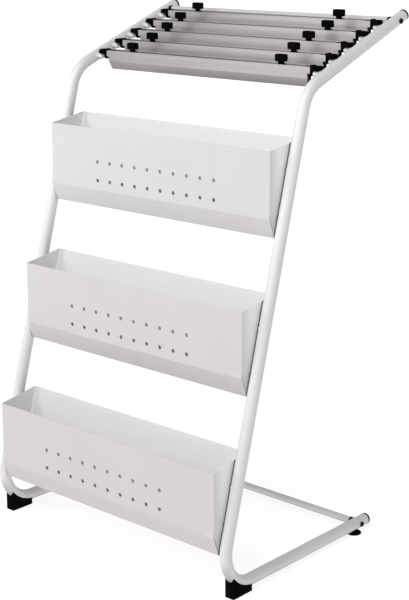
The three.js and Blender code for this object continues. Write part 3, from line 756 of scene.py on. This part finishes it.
def saddle_foot():
    """Rows run from front to back. Each is a ring: flat base, rounded lower corners, upright sides and a
    hollow top."""
    end = np.radians(np.linspace(0, 90, 6))
    front = bend_reach - FOOT_AHEAD
    rear = bend_reach - FOOT_BEHIND
    reach = FOOT_EDGE * (1 - np.sin(end))
    step = FOOT_EDGE * (1 - np.cos(end))
    middle = np.linspace(front + FOOT_EDGE, rear - FOOT_EDGE, 15)[1:-1]
    y = np.concatenate([front + reach[::-1], middle, rear - reach])
    inset = np.concatenate([step[::-1], 0 * middle, step])
    half = (FOOT_HALF - inset)[:, None]
    low = inset[:, None] * 0.5
    across = np.linspace(-1, 1, 17)[None]
    corner = np.radians(np.linspace(0, 90, 5))[None]
    base_x = half - FOOT_ROLL + FOOT_ROLL * np.sin(corner)
    base_z = low + FOOT_ROLL * (1 - np.cos(corner))
    top_x = across[:, ::-1] * half
    top_z = bend_underside(np.clip(top_x, -FOOT_HALF, FOOT_HALF), y[:, None]) - inset[:, None] * 0.3
    top_z = np.maximum(top_z, base_z[:, -1:] + 0.4)
    x = np.concatenate([-base_x[:, ::-1], base_x, top_x], axis=1)
    z = np.concatenate([base_z[:, ::-1], base_z, top_z], axis=1)
    grid = np.stack([FRAME_X + x, np.broadcast_to(y[:, None], x.shape), z], axis=2)
    return capped(*lattice(grid, close_columns=True), x.shape[1])


set_pair("moulded", "front_foot", [saddle_foot()], "black_rubber")
print("front feet:", FOOT_AHEAD - FOOT_BEHIND, "mm long")

# %% [markdown]
# The rear glides screw into the rails on studs, so the rack can be levelled. Each is a disc with a rolled rim
# and a collar that rises to its stud. It is round all the way up, so a lathe profile gives all of it.

# %% Rear glides
GLIDE_RADIUS = 17.0
GLIDE_HEIGHT = 5.5
GLIDE_INSET = 39.0
STUD_RADIUS = 4.0
glide_profile = np.concatenate(
    [
        [[0, 0.3], [9, 0.3], [10, 0]],
        arc((GLIDE_RADIUS - 1.2, 1.2), (1.2, 1.2), -90, 0, 6),
        arc((GLIDE_RADIUS - 1.4, GLIDE_HEIGHT * 0.3), (1.4, 1.4), 0, 75, 6),
        [[8.6, GLIDE_HEIGHT - 0.5], [8, GLIDE_HEIGHT], [STUD_RADIUS, GLIDE_HEIGHT]],
        [[STUD_RADIUS, RAIL_HEIGHT + 4.4], [STUD_RADIUS - 0.6, RAIL_HEIGHT + 5], [0, RAIL_HEIGHT + 5]],
    ]
)
glide_place = (FRAME_X, RAIL_LENGTH - GLIDE_INSET, 0)
set_pair("turned", "rear_glide", [turned(glide_profile, glide_place, (0, 0, 1))], "black_plastic")
print("rear glides:", 2 * GLIDE_RADIUS, "mm across")

# %% [markdown]
# A pocket is one sheet of steel. Its front, slanted bottom, floor and leaning back are folds of one strip,
# and the two ends are flaps folded back from the front, with a narrow return that is welded to the back
# panel. A narrow joint stays open where the flaps meet the slanted bottom.
# The strip is a grid: across it run the lines of x, and down it run the points of its folded profile. Faces
# are left out where the round holes are, and rings of points join each hole to the faces about it. Boolean
# cuts would leave long thin faces there, which shade badly.

# %% Folded strip with its round holes
POCKET_FORWARD = 33.6
FRONT_ABOVE = 112.7
FRONT_BELOW = 26.0
SLANT_DROP = 40.8
SLANT_RUN = 15.6
FLOOR_DEPTH = 34.0
BACK_ABOVE = 128.5
SEAM = 1.6
RETURN_WIDTH = 14.0
FOLD_RADIUS = 2.0
BESIDE_FOLD = 20.0
BESIDE_HOLES = 230.0
HOLE_RADIUS = 4.3
HOLE_PITCH = 38.4
HOLE_COLUMNS = 10
ROW_TOP = 75.4
ROW_GAP = 41.5
CELL_HALF = 13.0
CELL_STEPS = 6
BACK_ROWS = 13


def moved(corners, distances):
    """A line of corners with each side moved to its left by its own distance. Neighbours meet where they
    cross."""
    corners = np.asarray(corners, float)
    ways = np.diff(corners, axis=0)
    ways /= np.linalg.norm(ways, axis=1)[:, None]
    left = np.stack([-ways[:, 1], ways[:, 0]], axis=1)
    places = corners[:-1] + left * np.asarray(distances, float)[:, None]
    gap = places[1:] - places[:-1]
    turn = ways[:-1, 0] * ways[1:, 1] - ways[:-1, 1] * ways[1:, 0]
    reach = (gap[:, 0] * ways[1:, 1] - gap[:, 1] * ways[1:, 0]) / turn
    meets = places[:-1] + ways[:-1] * reach[:, None]
    last = corners[-1:] + left[-1:] * distances[-1]
    return np.concatenate([places[:1], meets, last])


floor_z = -FRONT_BELOW - SLANT_DROP
floor_y = -POCKET_FORWARD + SLANT_RUN
rear_y = floor_y + FLOOR_DEPTH
pocket_corners = [
    [-POCKET_FORWARD, FRONT_ABOVE],
    [-POCKET_FORWARD, -FRONT_BELOW],
    [floor_y, floor_z],
    [rear_y, floor_z],
    [rear_y + (BACK_ABOVE - floor_z) * math.tan(POST_LEAN), BACK_ABOVE],
]
end_corners = moved(pocket_corners, [SHEET / 2, SHEET + SEAM, SHEET + SEAM, SHEET * 1.5])
end_x = POCKET_X - SHEET / 2
fold_x = end_x - FOLD_RADIUS
hole_rows = [FRONT_ABOVE - ROW_TOP, FRONT_ABOVE - ROW_TOP - ROW_GAP]
cell_lines = np.linspace(-CELL_HALF, CELL_HALF, CELL_STEPS + 1)[::-1]
upper_lines = [FRONT_ABOVE, 90.0, 70.0]
cell_rows = [z + cell_lines for z in hole_rows]
flap_lines = np.concatenate([upper_lines, *cell_rows, [end_corners[1, 1]]])
hole_columns = (np.arange(HOLE_COLUMNS) - (HOLE_COLUMNS - 1) / 2) * HOLE_PITCH


def folded_strip():
    """The point at (x, s) is (x, y(s), z(s)), where (y, z) runs along the folded profile."""
    profile, _ = rounded_line(moved(pocket_corners, [SHEET / 2] * 4), [FOLD_RADIUS] * 3, step=5.0)
    front = np.stack([np.full(len(flap_lines), profile[0, 0]), flap_lines], axis=1)
    climb = np.linspace(profile[-2], profile[-1], BACK_ROWS)
    rows = np.concatenate([front, profile[1:-1], climb[1:]])
    holes_x = np.linspace(-HOLE_COLUMNS / 2, HOLE_COLUMNS / 2, HOLE_COLUMNS * CELL_STEPS + 1) * HOLE_PITCH
    side = np.array([POCKET_X, fold_x, fold_x - BESIDE_FOLD, BESIDE_HOLES])
    columns = np.concatenate([-side, holes_x, side[::-1]])
    grid = np.zeros((len(rows), len(columns), 3))
    grid[:, :, 0] = columns[None]
    grid[:, :, 1:] = rows[:, None]
    keep = np.ones((len(rows) - 1, len(columns) - 1), bool)
    keep[: len(flap_lines) - 1, [0, -1]] = False
    step = np.arange(CELL_STEPS)
    down = np.concatenate([0 * step, step, 0 * step + CELL_STEPS, CELL_STEPS - step])
    right = np.concatenate([step, 0 * step + CELL_STEPS, CELL_STEPS - step, 0 * step])
    angle = math.radians(135) - 2 * math.pi * np.arange(4 * CELL_STEPS) / (4 * CELL_STEPS)
    hole = HOLE_RADIUS * np.stack([np.cos(angle), 0 * angle, np.sin(angle)], axis=1)
    first_rows = len(upper_lines) + (CELL_STEPS + 1) * np.arange(len(hole_rows))
    first_columns = len(side) + CELL_STEPS * np.arange(HOLE_COLUMNS)
    points = [grid.reshape(-1, 3)]
    faces = []
    start = grid.shape[0] * grid.shape[1]
    for row, z in zip(first_rows, hole_rows):
        for column, x in zip(first_columns, hole_columns):
            keep[row : row + CELL_STEPS, column : column + CELL_STEPS] = False
            around = (row + down) * len(columns) + column + right
            inner = start + np.arange(len(angle))
            faces += np.stack([around, np.roll(around, -1), np.roll(inner, -1), inner], axis=1).tolist()
            points.append(hole + [x, profile[0, 0], z])
            start += len(angle)
    _, strip = lattice(grid, keep=keep)
    return np.concatenate(points), strip + faces


# %% [markdown]
# An end flap starts on the front panel, turns a quarter circle back, and then fills the shape between the
# sloping top edge and the lower edge above the open joint. Each of its rows is a straight blend from the
# lower edge to the top edge, so the rows spread out like a fan. At the rear it turns once more onto the back
# panel. A bend modifier could fold a flat plate too, but here the rows have to meet the front point to point.

# %% End flaps
RETURN_RADIUS = 1.6


def end_flap():
    """Rows share their heights with the front panel, so both meet point to point at the fold."""
    share = (flap_lines - flap_lines[-1]) / (flap_lines[0] - flap_lines[-1])
    bend = np.radians(np.linspace(0, 90, 10))
    front_y = -POCKET_FORWARD + SHEET / 2
    fold = np.stack([fold_x + FOLD_RADIUS * np.sin(bend), front_y + FOLD_RADIUS * (1 - np.cos(bend))], axis=1)
    fold_low = flap_lines[-1] - (fold[:, 1] - front_y) * SLANT_DROP / SLANT_RUN
    corner = np.zeros((len(share), len(bend), 3))
    corner[:, :, :2] = fold[None]
    corner[:, :, 2] = fold_low + share[:, None] * (FRONT_ABOVE - fold_low)
    lower = np.stack([[fold[-1, 1], fold_low[-1]], end_corners[2], end_corners[3] - [RETURN_RADIUS, 0]])
    upper_end = end_corners[4] - [RETURN_RADIUS, 0]
    run = np.concatenate([np.linspace(0, 1, 4)[1:], np.linspace(1, 2, 6)[1:]])
    low_y = np.interp(run, [0, 1, 2], lower[:, 0])
    low_z = np.interp(run, [0, 1, 2], lower[:, 1])
    blend = (low_y - fold[-1, 1]) / (low_y[-1] - fold[-1, 1])
    high_y = fold[-1, 1] + blend * (upper_end[0] - fold[-1, 1])
    high_z = FRONT_ABOVE + blend * (upper_end[1] - FRONT_ABOVE)
    flat = np.full((len(share), len(run), 3), end_x)
    flat[:, :, 1] = low_y + share[:, None] * (high_y - low_y)
    flat[:, :, 2] = low_z + share[:, None] * (high_z - low_z)
    turn = bend[1:]
    back = np.zeros((len(share), len(turn) + 1, 3))
    back[:, :, 0] = np.append(end_x - RETURN_RADIUS * (1 - np.cos(turn)), end_x - RETURN_WIDTH)
    back[:, :, 1] = flat[:, -1:, 1] + np.append(RETURN_RADIUS * np.sin(turn), RETURN_RADIUS)
    back[:, :, 2] = flat[:, -1:, 2]
    return lattice(np.concatenate([corner, flat, back], axis=1))


# %% [markdown]
# The pockets' paint carries painted light and shade as the frames' does. Inside, painted light on the back
# panel grows downwards until it fades in the shade, and on the flaps it grows to the rear. The fronts and
# slanted bottoms of the lower two pockets are painted a shade darker than those of the upper one, as painted
# shade.

# %% Painted light and shade on the pockets' paint
END_DARK_Y = -32.0
END_SPAN = 31.0
BACK_NEAR = 3.0
FOLD_CLEAR = 2.3
INSIDE_TOP = 0.52
INSIDE_GROWTH = 1.1
SHADE_BELOW = 40.0
SHADE_SPAN = 28.0
SLANT_START = 1.5
SLANT_FADE = 3.0
# Amounts of painted shade on each pocket's front and on its slanted bottom.
POCKET_PAINTED_SHADE = {"lower": (0.32, 0.58), "middle": (0.2, 0.45), "upper": (0.0, 0.08)}


def in_pocket(place, places):
    """Distances in (y, z) from a pocket's own place on the post line."""
    return places[:, 1:] - place + [MIDDLE_Y, 0.0]


def painted_inside_light(place, places, normals):
    """Painted light: grows down the back panel from INSIDE_TOP until it fades in the shade, and to the rear on
    the flaps.
    """
    away = in_pocket(place, places)
    behind = away[:, 0] - rear_y - (away[:, 1] - floor_z) * math.tan(POST_LEAN)
    back = (behind > -BACK_NEAR) & (away[:, 1] > floor_z + FOLD_CLEAR)
    rearward = np.clip((away[:, 0] - END_DARK_Y) / END_SPAN, 0, 1)
    across = np.abs(places[:, 0])
    on_flap = np.clip((across - fold_x) / FOLD_RADIUS, 0, 1) * (across < POCKET_X - 0.2)
    down = (BACK_ABOVE - away[:, 1]) / (BACK_ABOVE - floor_z)
    fade = np.clip((away[:, 1] - SHADE_BELOW) / SHADE_SPAN, 0, 1)
    return np.where(back, (INSIDE_TOP + INSIDE_GROWTH * down) * fade, rearward * on_flap)


def painted_front_shade(place, front, slant, places, normals):
    """Painted shade: one value on a pocket's front panel, another on its slanted bottom, and 0 elsewhere."""
    away = in_pocket(place, places)
    facing = (np.abs(places[:, 0]) < fold_x + 0.1) & (away[:, 0] < floor_y + 0.5)
    below = np.clip((SLANT_START - FRONT_BELOW - away[:, 1]) / SLANT_FADE, 0, 1)
    return np.where(facing, front + (slant - front) * below, 0.0)


# %% Three pockets and their screws
POCKET_SCREW = (1.5, 3.5, 2.4)
POCKET_BITE = 6.0
strip = folded_strip()
flap_points, flap_faces = end_flap()
folded = [strip, (flap_points, flap_faces), (flap_points * MIRRORED, flap_faces)]
screw_x = POCKET_X - SHEET - SEAT
for name, place in zip(POCKETS, pocket_places):
    shells = [(points + [0.0, *place], faces) for points, faces in folded]
    # Painted light inside, the painted gap shadow beside the post, and painted shade on the front.
    marks = [
        ("inside", functools.partial(painted_inside_light, place)),
        ("beside_post", beside_post),
        ("darker", functools.partial(painted_front_shade, place, *POCKET_PAINTED_SHADE[name])),
    ]
    set_piece("folded", "pocket_" + name, shells, "white_powder_coat", wall=SHEET, edge=0.25, marks=marks)
    grip = INNER_X + POCKET_BITE - screw_x
    screw = button_screw(*POCKET_SCREW, grip, place + BOSS_UP * POST_WAY, screw_x, -1)
    set_pair("turned", "pocket_screw_" + name, [screw], "blackened_screw")
print("pockets:", round(2 * POCKET_X, 1), "mm wide,", HOLE_COLUMNS * len(hole_rows), "holes each")

# %% [markdown]
# A newspaper stick is two aluminium extrusions. The rail behind has a rolled top and carries a bead along its
# length; the jaw in front hangs on that bead by a claw, and the two lips below pinch the newspaper's fold.
# Both are drawn as the middle line of their wall, carried along X, because the wall is even and Solidify can
# add its two faces. The ends are not square: the lips slope in, so each row of points has its own end, and
# the rows below the notch leave out their last faces.

# %% Stick extrusions
STICK_WALL = 1.8
STICK_THICKNESS = 14.0
STICK_FRONT = -5.0
STICK_BACK = STICK_FRONT + STICK_THICKNESS
JAW_TOP = 16.5
RAIL_TOP = JAW_TOP + 3.0
FOLD_DROP = 7.5
LIP_BOTTOM = -FOLD_DROP - 18.0
LIP_TIP = 1.6
LIP_GAP = 0.6
LIP_CUT = 6.0
BEAD_DROP = 3.0
BEAD_RADIUS = 2.2
CLAW_WALL = 1.5
SLIT_DEPTH = 8.3
END_PLAY = 5.7
HOOK_LENGTH = 17.5
CAP_FLANGE = 4.0
TOE_LENGTH = 7.0
claw_middle = BEAD_RADIUS + SEAT + CLAW_WALL / 2
bead_y = STICK_FRONT + STICK_WALL / 2 + claw_middle + CLAW_WALL / 2
notch_top = -BEAD_DROP + claw_middle + CLAW_WALL / 2 + 1.5
stick_half = INNER_X - END_PLAY - HOOK_LENGTH - CAP_FLANGE - SEAT
notch_x = stick_half - TOE_LENGTH - SEAT
stick_middle = (STICK_FRONT + STICK_BACK) / 2
flange_front = STICK_FRONT + STICK_WALL + SLIT_DEPTH


def extruded_wall(corners, radii, half):
    """A wall's middle line carried along X. Below the fold the end moves in by the lip cut, in proportion to
    the drop."""
    line, _ = rounded_line(corners, radii, step=7.5)
    height = line[:, 1]
    drop = np.clip(-FOLD_DROP - height, 0, None) / (-FOLD_DROP - LIP_BOTTOM)
    share = np.array([-1, -0.6, -0.2, 0.2, 0.6, 1])
    inner = share[None] * (notch_x - LIP_CUT * drop)[:, None]
    outer = np.full((len(line), 1), half)
    x = np.concatenate([-outer, inner, outer], axis=1)
    grid = np.zeros((*x.shape, 3))
    grid[:, :, 0] = x
    grid[:, :, 1:] = line[:, None]
    keep = np.ones((len(line) - 1, x.shape[1] - 1), bool)
    below = (height[:-1] + height[1:]) / 2 < notch_top
    keep[below, 0] = False
    keep[below, -1] = False
    return lattice(grid, keep=keep)


back_middle = STICK_BACK - STICK_WALL / 2
rail_wall = extruded_wall(
    [
        [flange_front, RAIL_TOP - STICK_WALL / 2],
        [back_middle, RAIL_TOP - STICK_WALL / 2],
        [back_middle, notch_top],
        [back_middle, -FOLD_DROP],
        [stick_middle + (LIP_GAP + LIP_TIP) / 2, LIP_BOTTOM],
    ],
    [1.4, 0, 3.0],
    stick_half,
)
bead_middle = BEAD_RADIUS - STICK_WALL / 2
web = extruded_wall([[back_middle, -BEAD_DROP], [bead_y + bead_middle, -BEAD_DROP]], [], stick_half)
bead_line = arc((bead_y, -BEAD_DROP), (bead_middle, bead_middle), 10, 350, 19)
bead = extruded_wall(bead_line, [0] * (len(bead_line) - 2), stick_half)
front_middle = STICK_FRONT + STICK_WALL / 2
jaw_wall = extruded_wall(
    [
        [front_middle, JAW_TOP],
        [front_middle, notch_top],
        [front_middle, -FOLD_DROP],
        [stick_middle - (LIP_GAP + LIP_TIP) / 2, LIP_BOTTOM],
    ],
    [0, 3.0],
    stick_half - 0.5,
)
claw_line = arc((bead_y, -BEAD_DROP), (claw_middle, claw_middle), 45, 315, 19)
claw = extruded_wall(claw_line, [0] * (len(claw_line) - 2), stick_half)
print("stick walls:", sum(len(faces) for _, faces in (rail_wall, web, bead, jaw_wall, claw)), "faces")

# %% [markdown]
# Each stick end has a moulded hook that drops over its peg. It is a few shapes in one moulding: a flange
# against the stick, a hook with a roof and a rear leg, a toe with a small plate that closes the hollow
# between the lips, and a core inside the stick. All are rounded outlines carried along X with rolled rims,
# as a moulded edge has. They overlap a little, so that no gap shows where they meet.

# %% End caps
HOOK_TOP = 19.0
HOOK_AHEAD = 2.2
LEG_THICKNESS = 4.2
LEG_DROP = 2.7
CAP_BORDER = 1.2
TOE_PLATE = 2.0
TOE_DROP = 11.0
TOE_INSET = 3.5
CORE_LENGTH = 18.0
NECK_DEPTH = 3.5
groove = PEG_RADIUS + SEAT
hook_front = -groove - HOOK_AHEAD
hook_back = groove + LEG_THICKNESS
cap_x = stick_half + SEAT
neck_front = flange_front - NECK_DEPTH
inner_back = STICK_BACK - STICK_WALL - SEAT


def hook_outline():
    """Round the roof and the leg with rounded corners, then back along the groove's quarter circle."""
    outside = [
        [0, PEG_UP + groove],
        [hook_front, PEG_UP + groove],
        [hook_front, HOOK_TOP],
        [hook_back, HOOK_TOP],
        [hook_back, -LEG_DROP],
        [groove, -LEG_DROP],
        [groove, PEG_UP],
    ]
    points, tangents = rounded_line(outside, [0.9, 5.0, 2.4, 1.2, 1.2], step=12.0)
    inside = arc((0, PEG_UP), (groove, groove), 0, 90, 10)[1:-1]
    around = np.radians(np.linspace(0, 90, 10))[1:-1]
    inside_tangents = np.stack([-np.sin(around), np.cos(around)], axis=1)
    outline = np.concatenate([points, inside])[::-1]
    along = -np.concatenate([tangents, inside_tangents])[::-1]
    return outline, np.stack([along[:, 1], -along[:, 0]], axis=1)


def box_outline(low, high, radius):
    """A rectangle with rounded corners, counterclockwise."""
    corners = [[low[0], low[1]], [high[0], low[1]], [high[0], high[1]], [low[0], high[1]]]
    return rounded_outline(corners, [radius] * 4)


flange_low = (STICK_FRONT - CAP_BORDER, -LEG_DROP)
flange_shape = box_outline(flange_low, (STICK_BACK + CAP_BORDER, RAIL_TOP + CAP_BORDER), 1.8)
toe_shape = box_outline((STICK_FRONT, -LEG_DROP), (STICK_BACK, notch_top - SEAT), 1.2)
plate_low = (STICK_FRONT + TOE_INSET, -TOE_DROP)
plate_shape = box_outline(plate_low, (STICK_BACK - TOE_INSET, notch_top - SEAT), 0.8)
core_shape = box_outline((neck_front, notch_top - SEAT - 1), (inner_back, RAIL_TOP - 2.1), 0.8)
hook_end = cap_x + CAP_FLANGE + HOOK_LENGTH
cap_shells = [
    rounded_bar(*flange_shape, cap_x, cap_x + CAP_FLANGE, 0.6, ALONG_X),
    rounded_bar(*hook_outline(), cap_x + CAP_FLANGE - 1.0, hook_end, 0.7, ALONG_X),
    rounded_bar(*toe_shape, cap_x - TOE_LENGTH, cap_x + 1.0, 0.5, ALONG_X),
    rounded_bar(*plate_shape, cap_x - TOE_LENGTH, cap_x - TOE_LENGTH + TOE_PLATE, 0.4, ALONG_X),
    rounded_bar(*core_shape, cap_x - CORE_LENGTH, cap_x + 1.0, 0.4, ALONG_X),
]
print("caps:", len(cap_shells), "shapes in each")

# %% [markdown]
# Two knobs slide in the slit on top of each stick. A knob is a rounded head above the slit, a narrow neck
# through it and a runner inside. The same rounded bars serve again, this time carried along Y.

# %% Slider knobs
HEAD_WIDTH = 26.5
HEAD_DEPTH = 13.0
HEAD_LOW = 22.3
HEAD_HEIGHT = 15.5
NECK_WIDTH = 14.5
RUNNER_WIDTH = 20.0
RUNNER_LOW = 9.0
RUNNER_HEIGHT = 5.0
head_high = HEAD_LOW + HEAD_HEIGHT
runner_high = RUNNER_LOW + RUNNER_HEIGHT
neck_back = flange_front - SEAT
head_middle = (neck_front + neck_back) / 2
head_shape = box_outline((-HEAD_WIDTH / 2, HEAD_LOW), (HEAD_WIDTH / 2, head_high), 3.0)
neck_shape = box_outline((-NECK_WIDTH / 2, RUNNER_LOW + 1), (NECK_WIDTH / 2, HEAD_LOW + 1), 0.6)
runner_shape = box_outline((-RUNNER_WIDTH / 2, RUNNER_LOW), (RUNNER_WIDTH / 2, runner_high), 1.0)
knob_shells = [
    rounded_bar(*head_shape, head_middle - HEAD_DEPTH / 2, head_middle + HEAD_DEPTH / 2, 1.6, ALONG_Y),
    rounded_bar(*neck_shape, neck_front, neck_back, 0.3, ALONG_Y),
    rounded_bar(*runner_shape, neck_front, inner_back, 0.5, ALONG_Y),
]
print("knobs:", HEAD_WIDTH, "mm wide, heads", HEAD_HEIGHT, "mm tall")

# %% [markdown]
# The five sticks are alike, and hang a little to the right within the play on their pegs. Only the knobs
# stand at different places, because readers push them by hand.
# A mark on the metal paints shade on the lips, which turn down from the light, and a lighter painted shade
# on the front stick's upright faces.

# %% Hanging the five sticks
STICK_SHIFT = 5.0
# The front stick's upright faces take a little painted shade.
FRONT_STICK_SHADE = 0.25
LIP_START = 0.5
LIP_FADE = 1.5
KNOBS_LEFT = (-221.0, -209.0, -211.0, -217.0, -209.0)
KNOBS_RIGHT = (216.0, 208.0, 207.0, 218.0, 209.0)


def shifted(shells, x, place):
    """Shells moved by x across the rack and by place in (y, z)."""
    return [(points + [x, *place], faces) for points, faces in shells]


def painted_lip_shade(fold_z, face, places, normals):
    """Painted shade: 1 on the lips, and on the stick's upright faces the value given for them."""
    return np.clip((fold_z + LIP_START - places[:, 2]) / LIP_FADE, face, 1)


for i, place in enumerate(peg_places):
    stick = "stick_" + str(i + 1)
    face = FRONT_STICK_SHADE if i == 0 else 0.0
    marks = [("lip", functools.partial(painted_lip_shade, place[1] - FOLD_DROP, face))]
    drawn = {"wall": STICK_WALL, "edge": 0.3, "shift": STICK_SHIFT, "marks": marks}
    rail = shifted([rail_wall, web, bead], 0, place)
    jaw = shifted([jaw_wall, claw], 0, place)
    set_piece("extruded", stick + "_rail", rail, "anodised_aluminium", **drawn)
    set_piece("extruded", stick + "_jaw", jaw, "anodised_aluminium", **drawn)
    set_pair("moulded", stick + "_cap", shifted(cap_shells, 0, place), "black_plastic", shift=STICK_SHIFT)
    for side, x in (("left", KNOBS_LEFT[i]), ("right", KNOBS_RIGHT[i])):
        knob = shifted(knob_shells, x + STICK_SHIFT, place)
        set_piece("moulded", stick + "_slider_" + side, knob, "black_plastic")
print("sticks:", STICKS, "of", round(2 * stick_half, 1), "mm")

# %% [markdown]
# The photograph is a studio picture on white paper. A large soft light hangs high at the front, a little to
# the right, so fronts are bright and slanted bottoms a little darker. A small one at the left front keeps the
# other side from going flat, and the sky is dim.
# The paper is a bright floor: it throws light back up at the rack, and it glows more with the distance from
# it, which keeps the background evenly white where the lights fall off.

# %% Paper floor
FLOOR_RADIUS = 40.0
PAPER_DARK = (0.35, 0.35, 0.35, 1)
PAPER_LIGHT = (0.37, 0.37, 0.37, 1)
GLOW_NEAR = (0.80, 0.785, 0.782, 1)
GLOW_FAR = (1.0, 0.99, 0.987, 1)
GLOW_SPAN = (1.0, 6.0)
angle = full_turn(64)
rim = np.stack([FLOOR_RADIUS * np.cos(angle), FLOOR_RADIUS * np.sin(angle), 0 * angle], axis=1)
floor_mesh = bpy.data.meshes.new("paper_floor")
floor_mesh.from_pydata(rim.tolist(), [], [list(range(len(angle)))])
floor_material, floor_shader, floor_tone, floor_place = new_finish("paper_floor")
fibre = floor_tone.noise(floor_place, EVEN, 40.0, 3.0)
paper = fibre.blend(PAPER_DARK, PAPER_LIGHT)
distance = floor_tone.make("ShaderNodeVectorMath", {"operation": "LENGTH"}, {0: floor_place}, "Value")
glow = distance.above(*GLOW_SPAN).blend(GLOW_NEAR, GLOW_FAR)
floor_tone.tree.links.new(paper.socket, floor_shader.inputs["Base Color"])
floor_tone.tree.links.new(glow.socket, floor_shader.inputs["Emission Color"])
floor_shader.inputs["Emission Strength"].default_value = 1.0
floor_shader.inputs["Roughness"].default_value = 0.9
floor_shader.inputs["Specular IOR Level"].default_value = 0.0
floor_mesh.materials.append(floor_material)
floor = bpy.data.objects.new("paper_floor", floor_mesh)
bpy.context.scene.collection.objects.link(floor)
print("floor:", FLOOR_RADIUS, "m in radius")

# %% Sky and lights
SKY_STRENGTH = 0.44
LIGHT_AIM = (0, 0, 0.9)
LIGHT_TINT = (0.985, 1.0, 1.01)
KEY_PLACE = (1.0, -3.7, 5.9)
LEFT_PLACE = (-2.2, -3.4, 2.3)
sky = bpy.data.worlds.new("studio")
sky.use_nodes = True
sky.node_tree.nodes["Background"].inputs["Color"].default_value = (1.0, 1.0, 1.0, 1.0)
sky.node_tree.nodes["Background"].inputs["Strength"].default_value = SKY_STRENGTH
bpy.context.scene.world = sky
bpy.context.scene.view_settings.view_transform = "Standard"


def soft_light(name, place, size, power):
    """A square light of size metres, turned to shine from place towards the middle of the rack."""
    data = bpy.data.lights.new(name, "AREA")
    data.size = size
    data.energy = power
    data.color = LIGHT_TINT
    lamp = bpy.data.objects.new(name, data)
    lamp.location = place
    lamp.rotation_euler = (Vector(LIGHT_AIM) - Vector(place)).to_track_quat("-Z", "Y").to_euler()
    bpy.context.scene.collection.objects.link(lamp)


soft_light("key_light", KEY_PLACE, size=3.0, power=190.0)
soft_light("left_light", LEFT_PLACE, size=1.0, power=30.0)
print("lights:", len(bpy.data.lights))
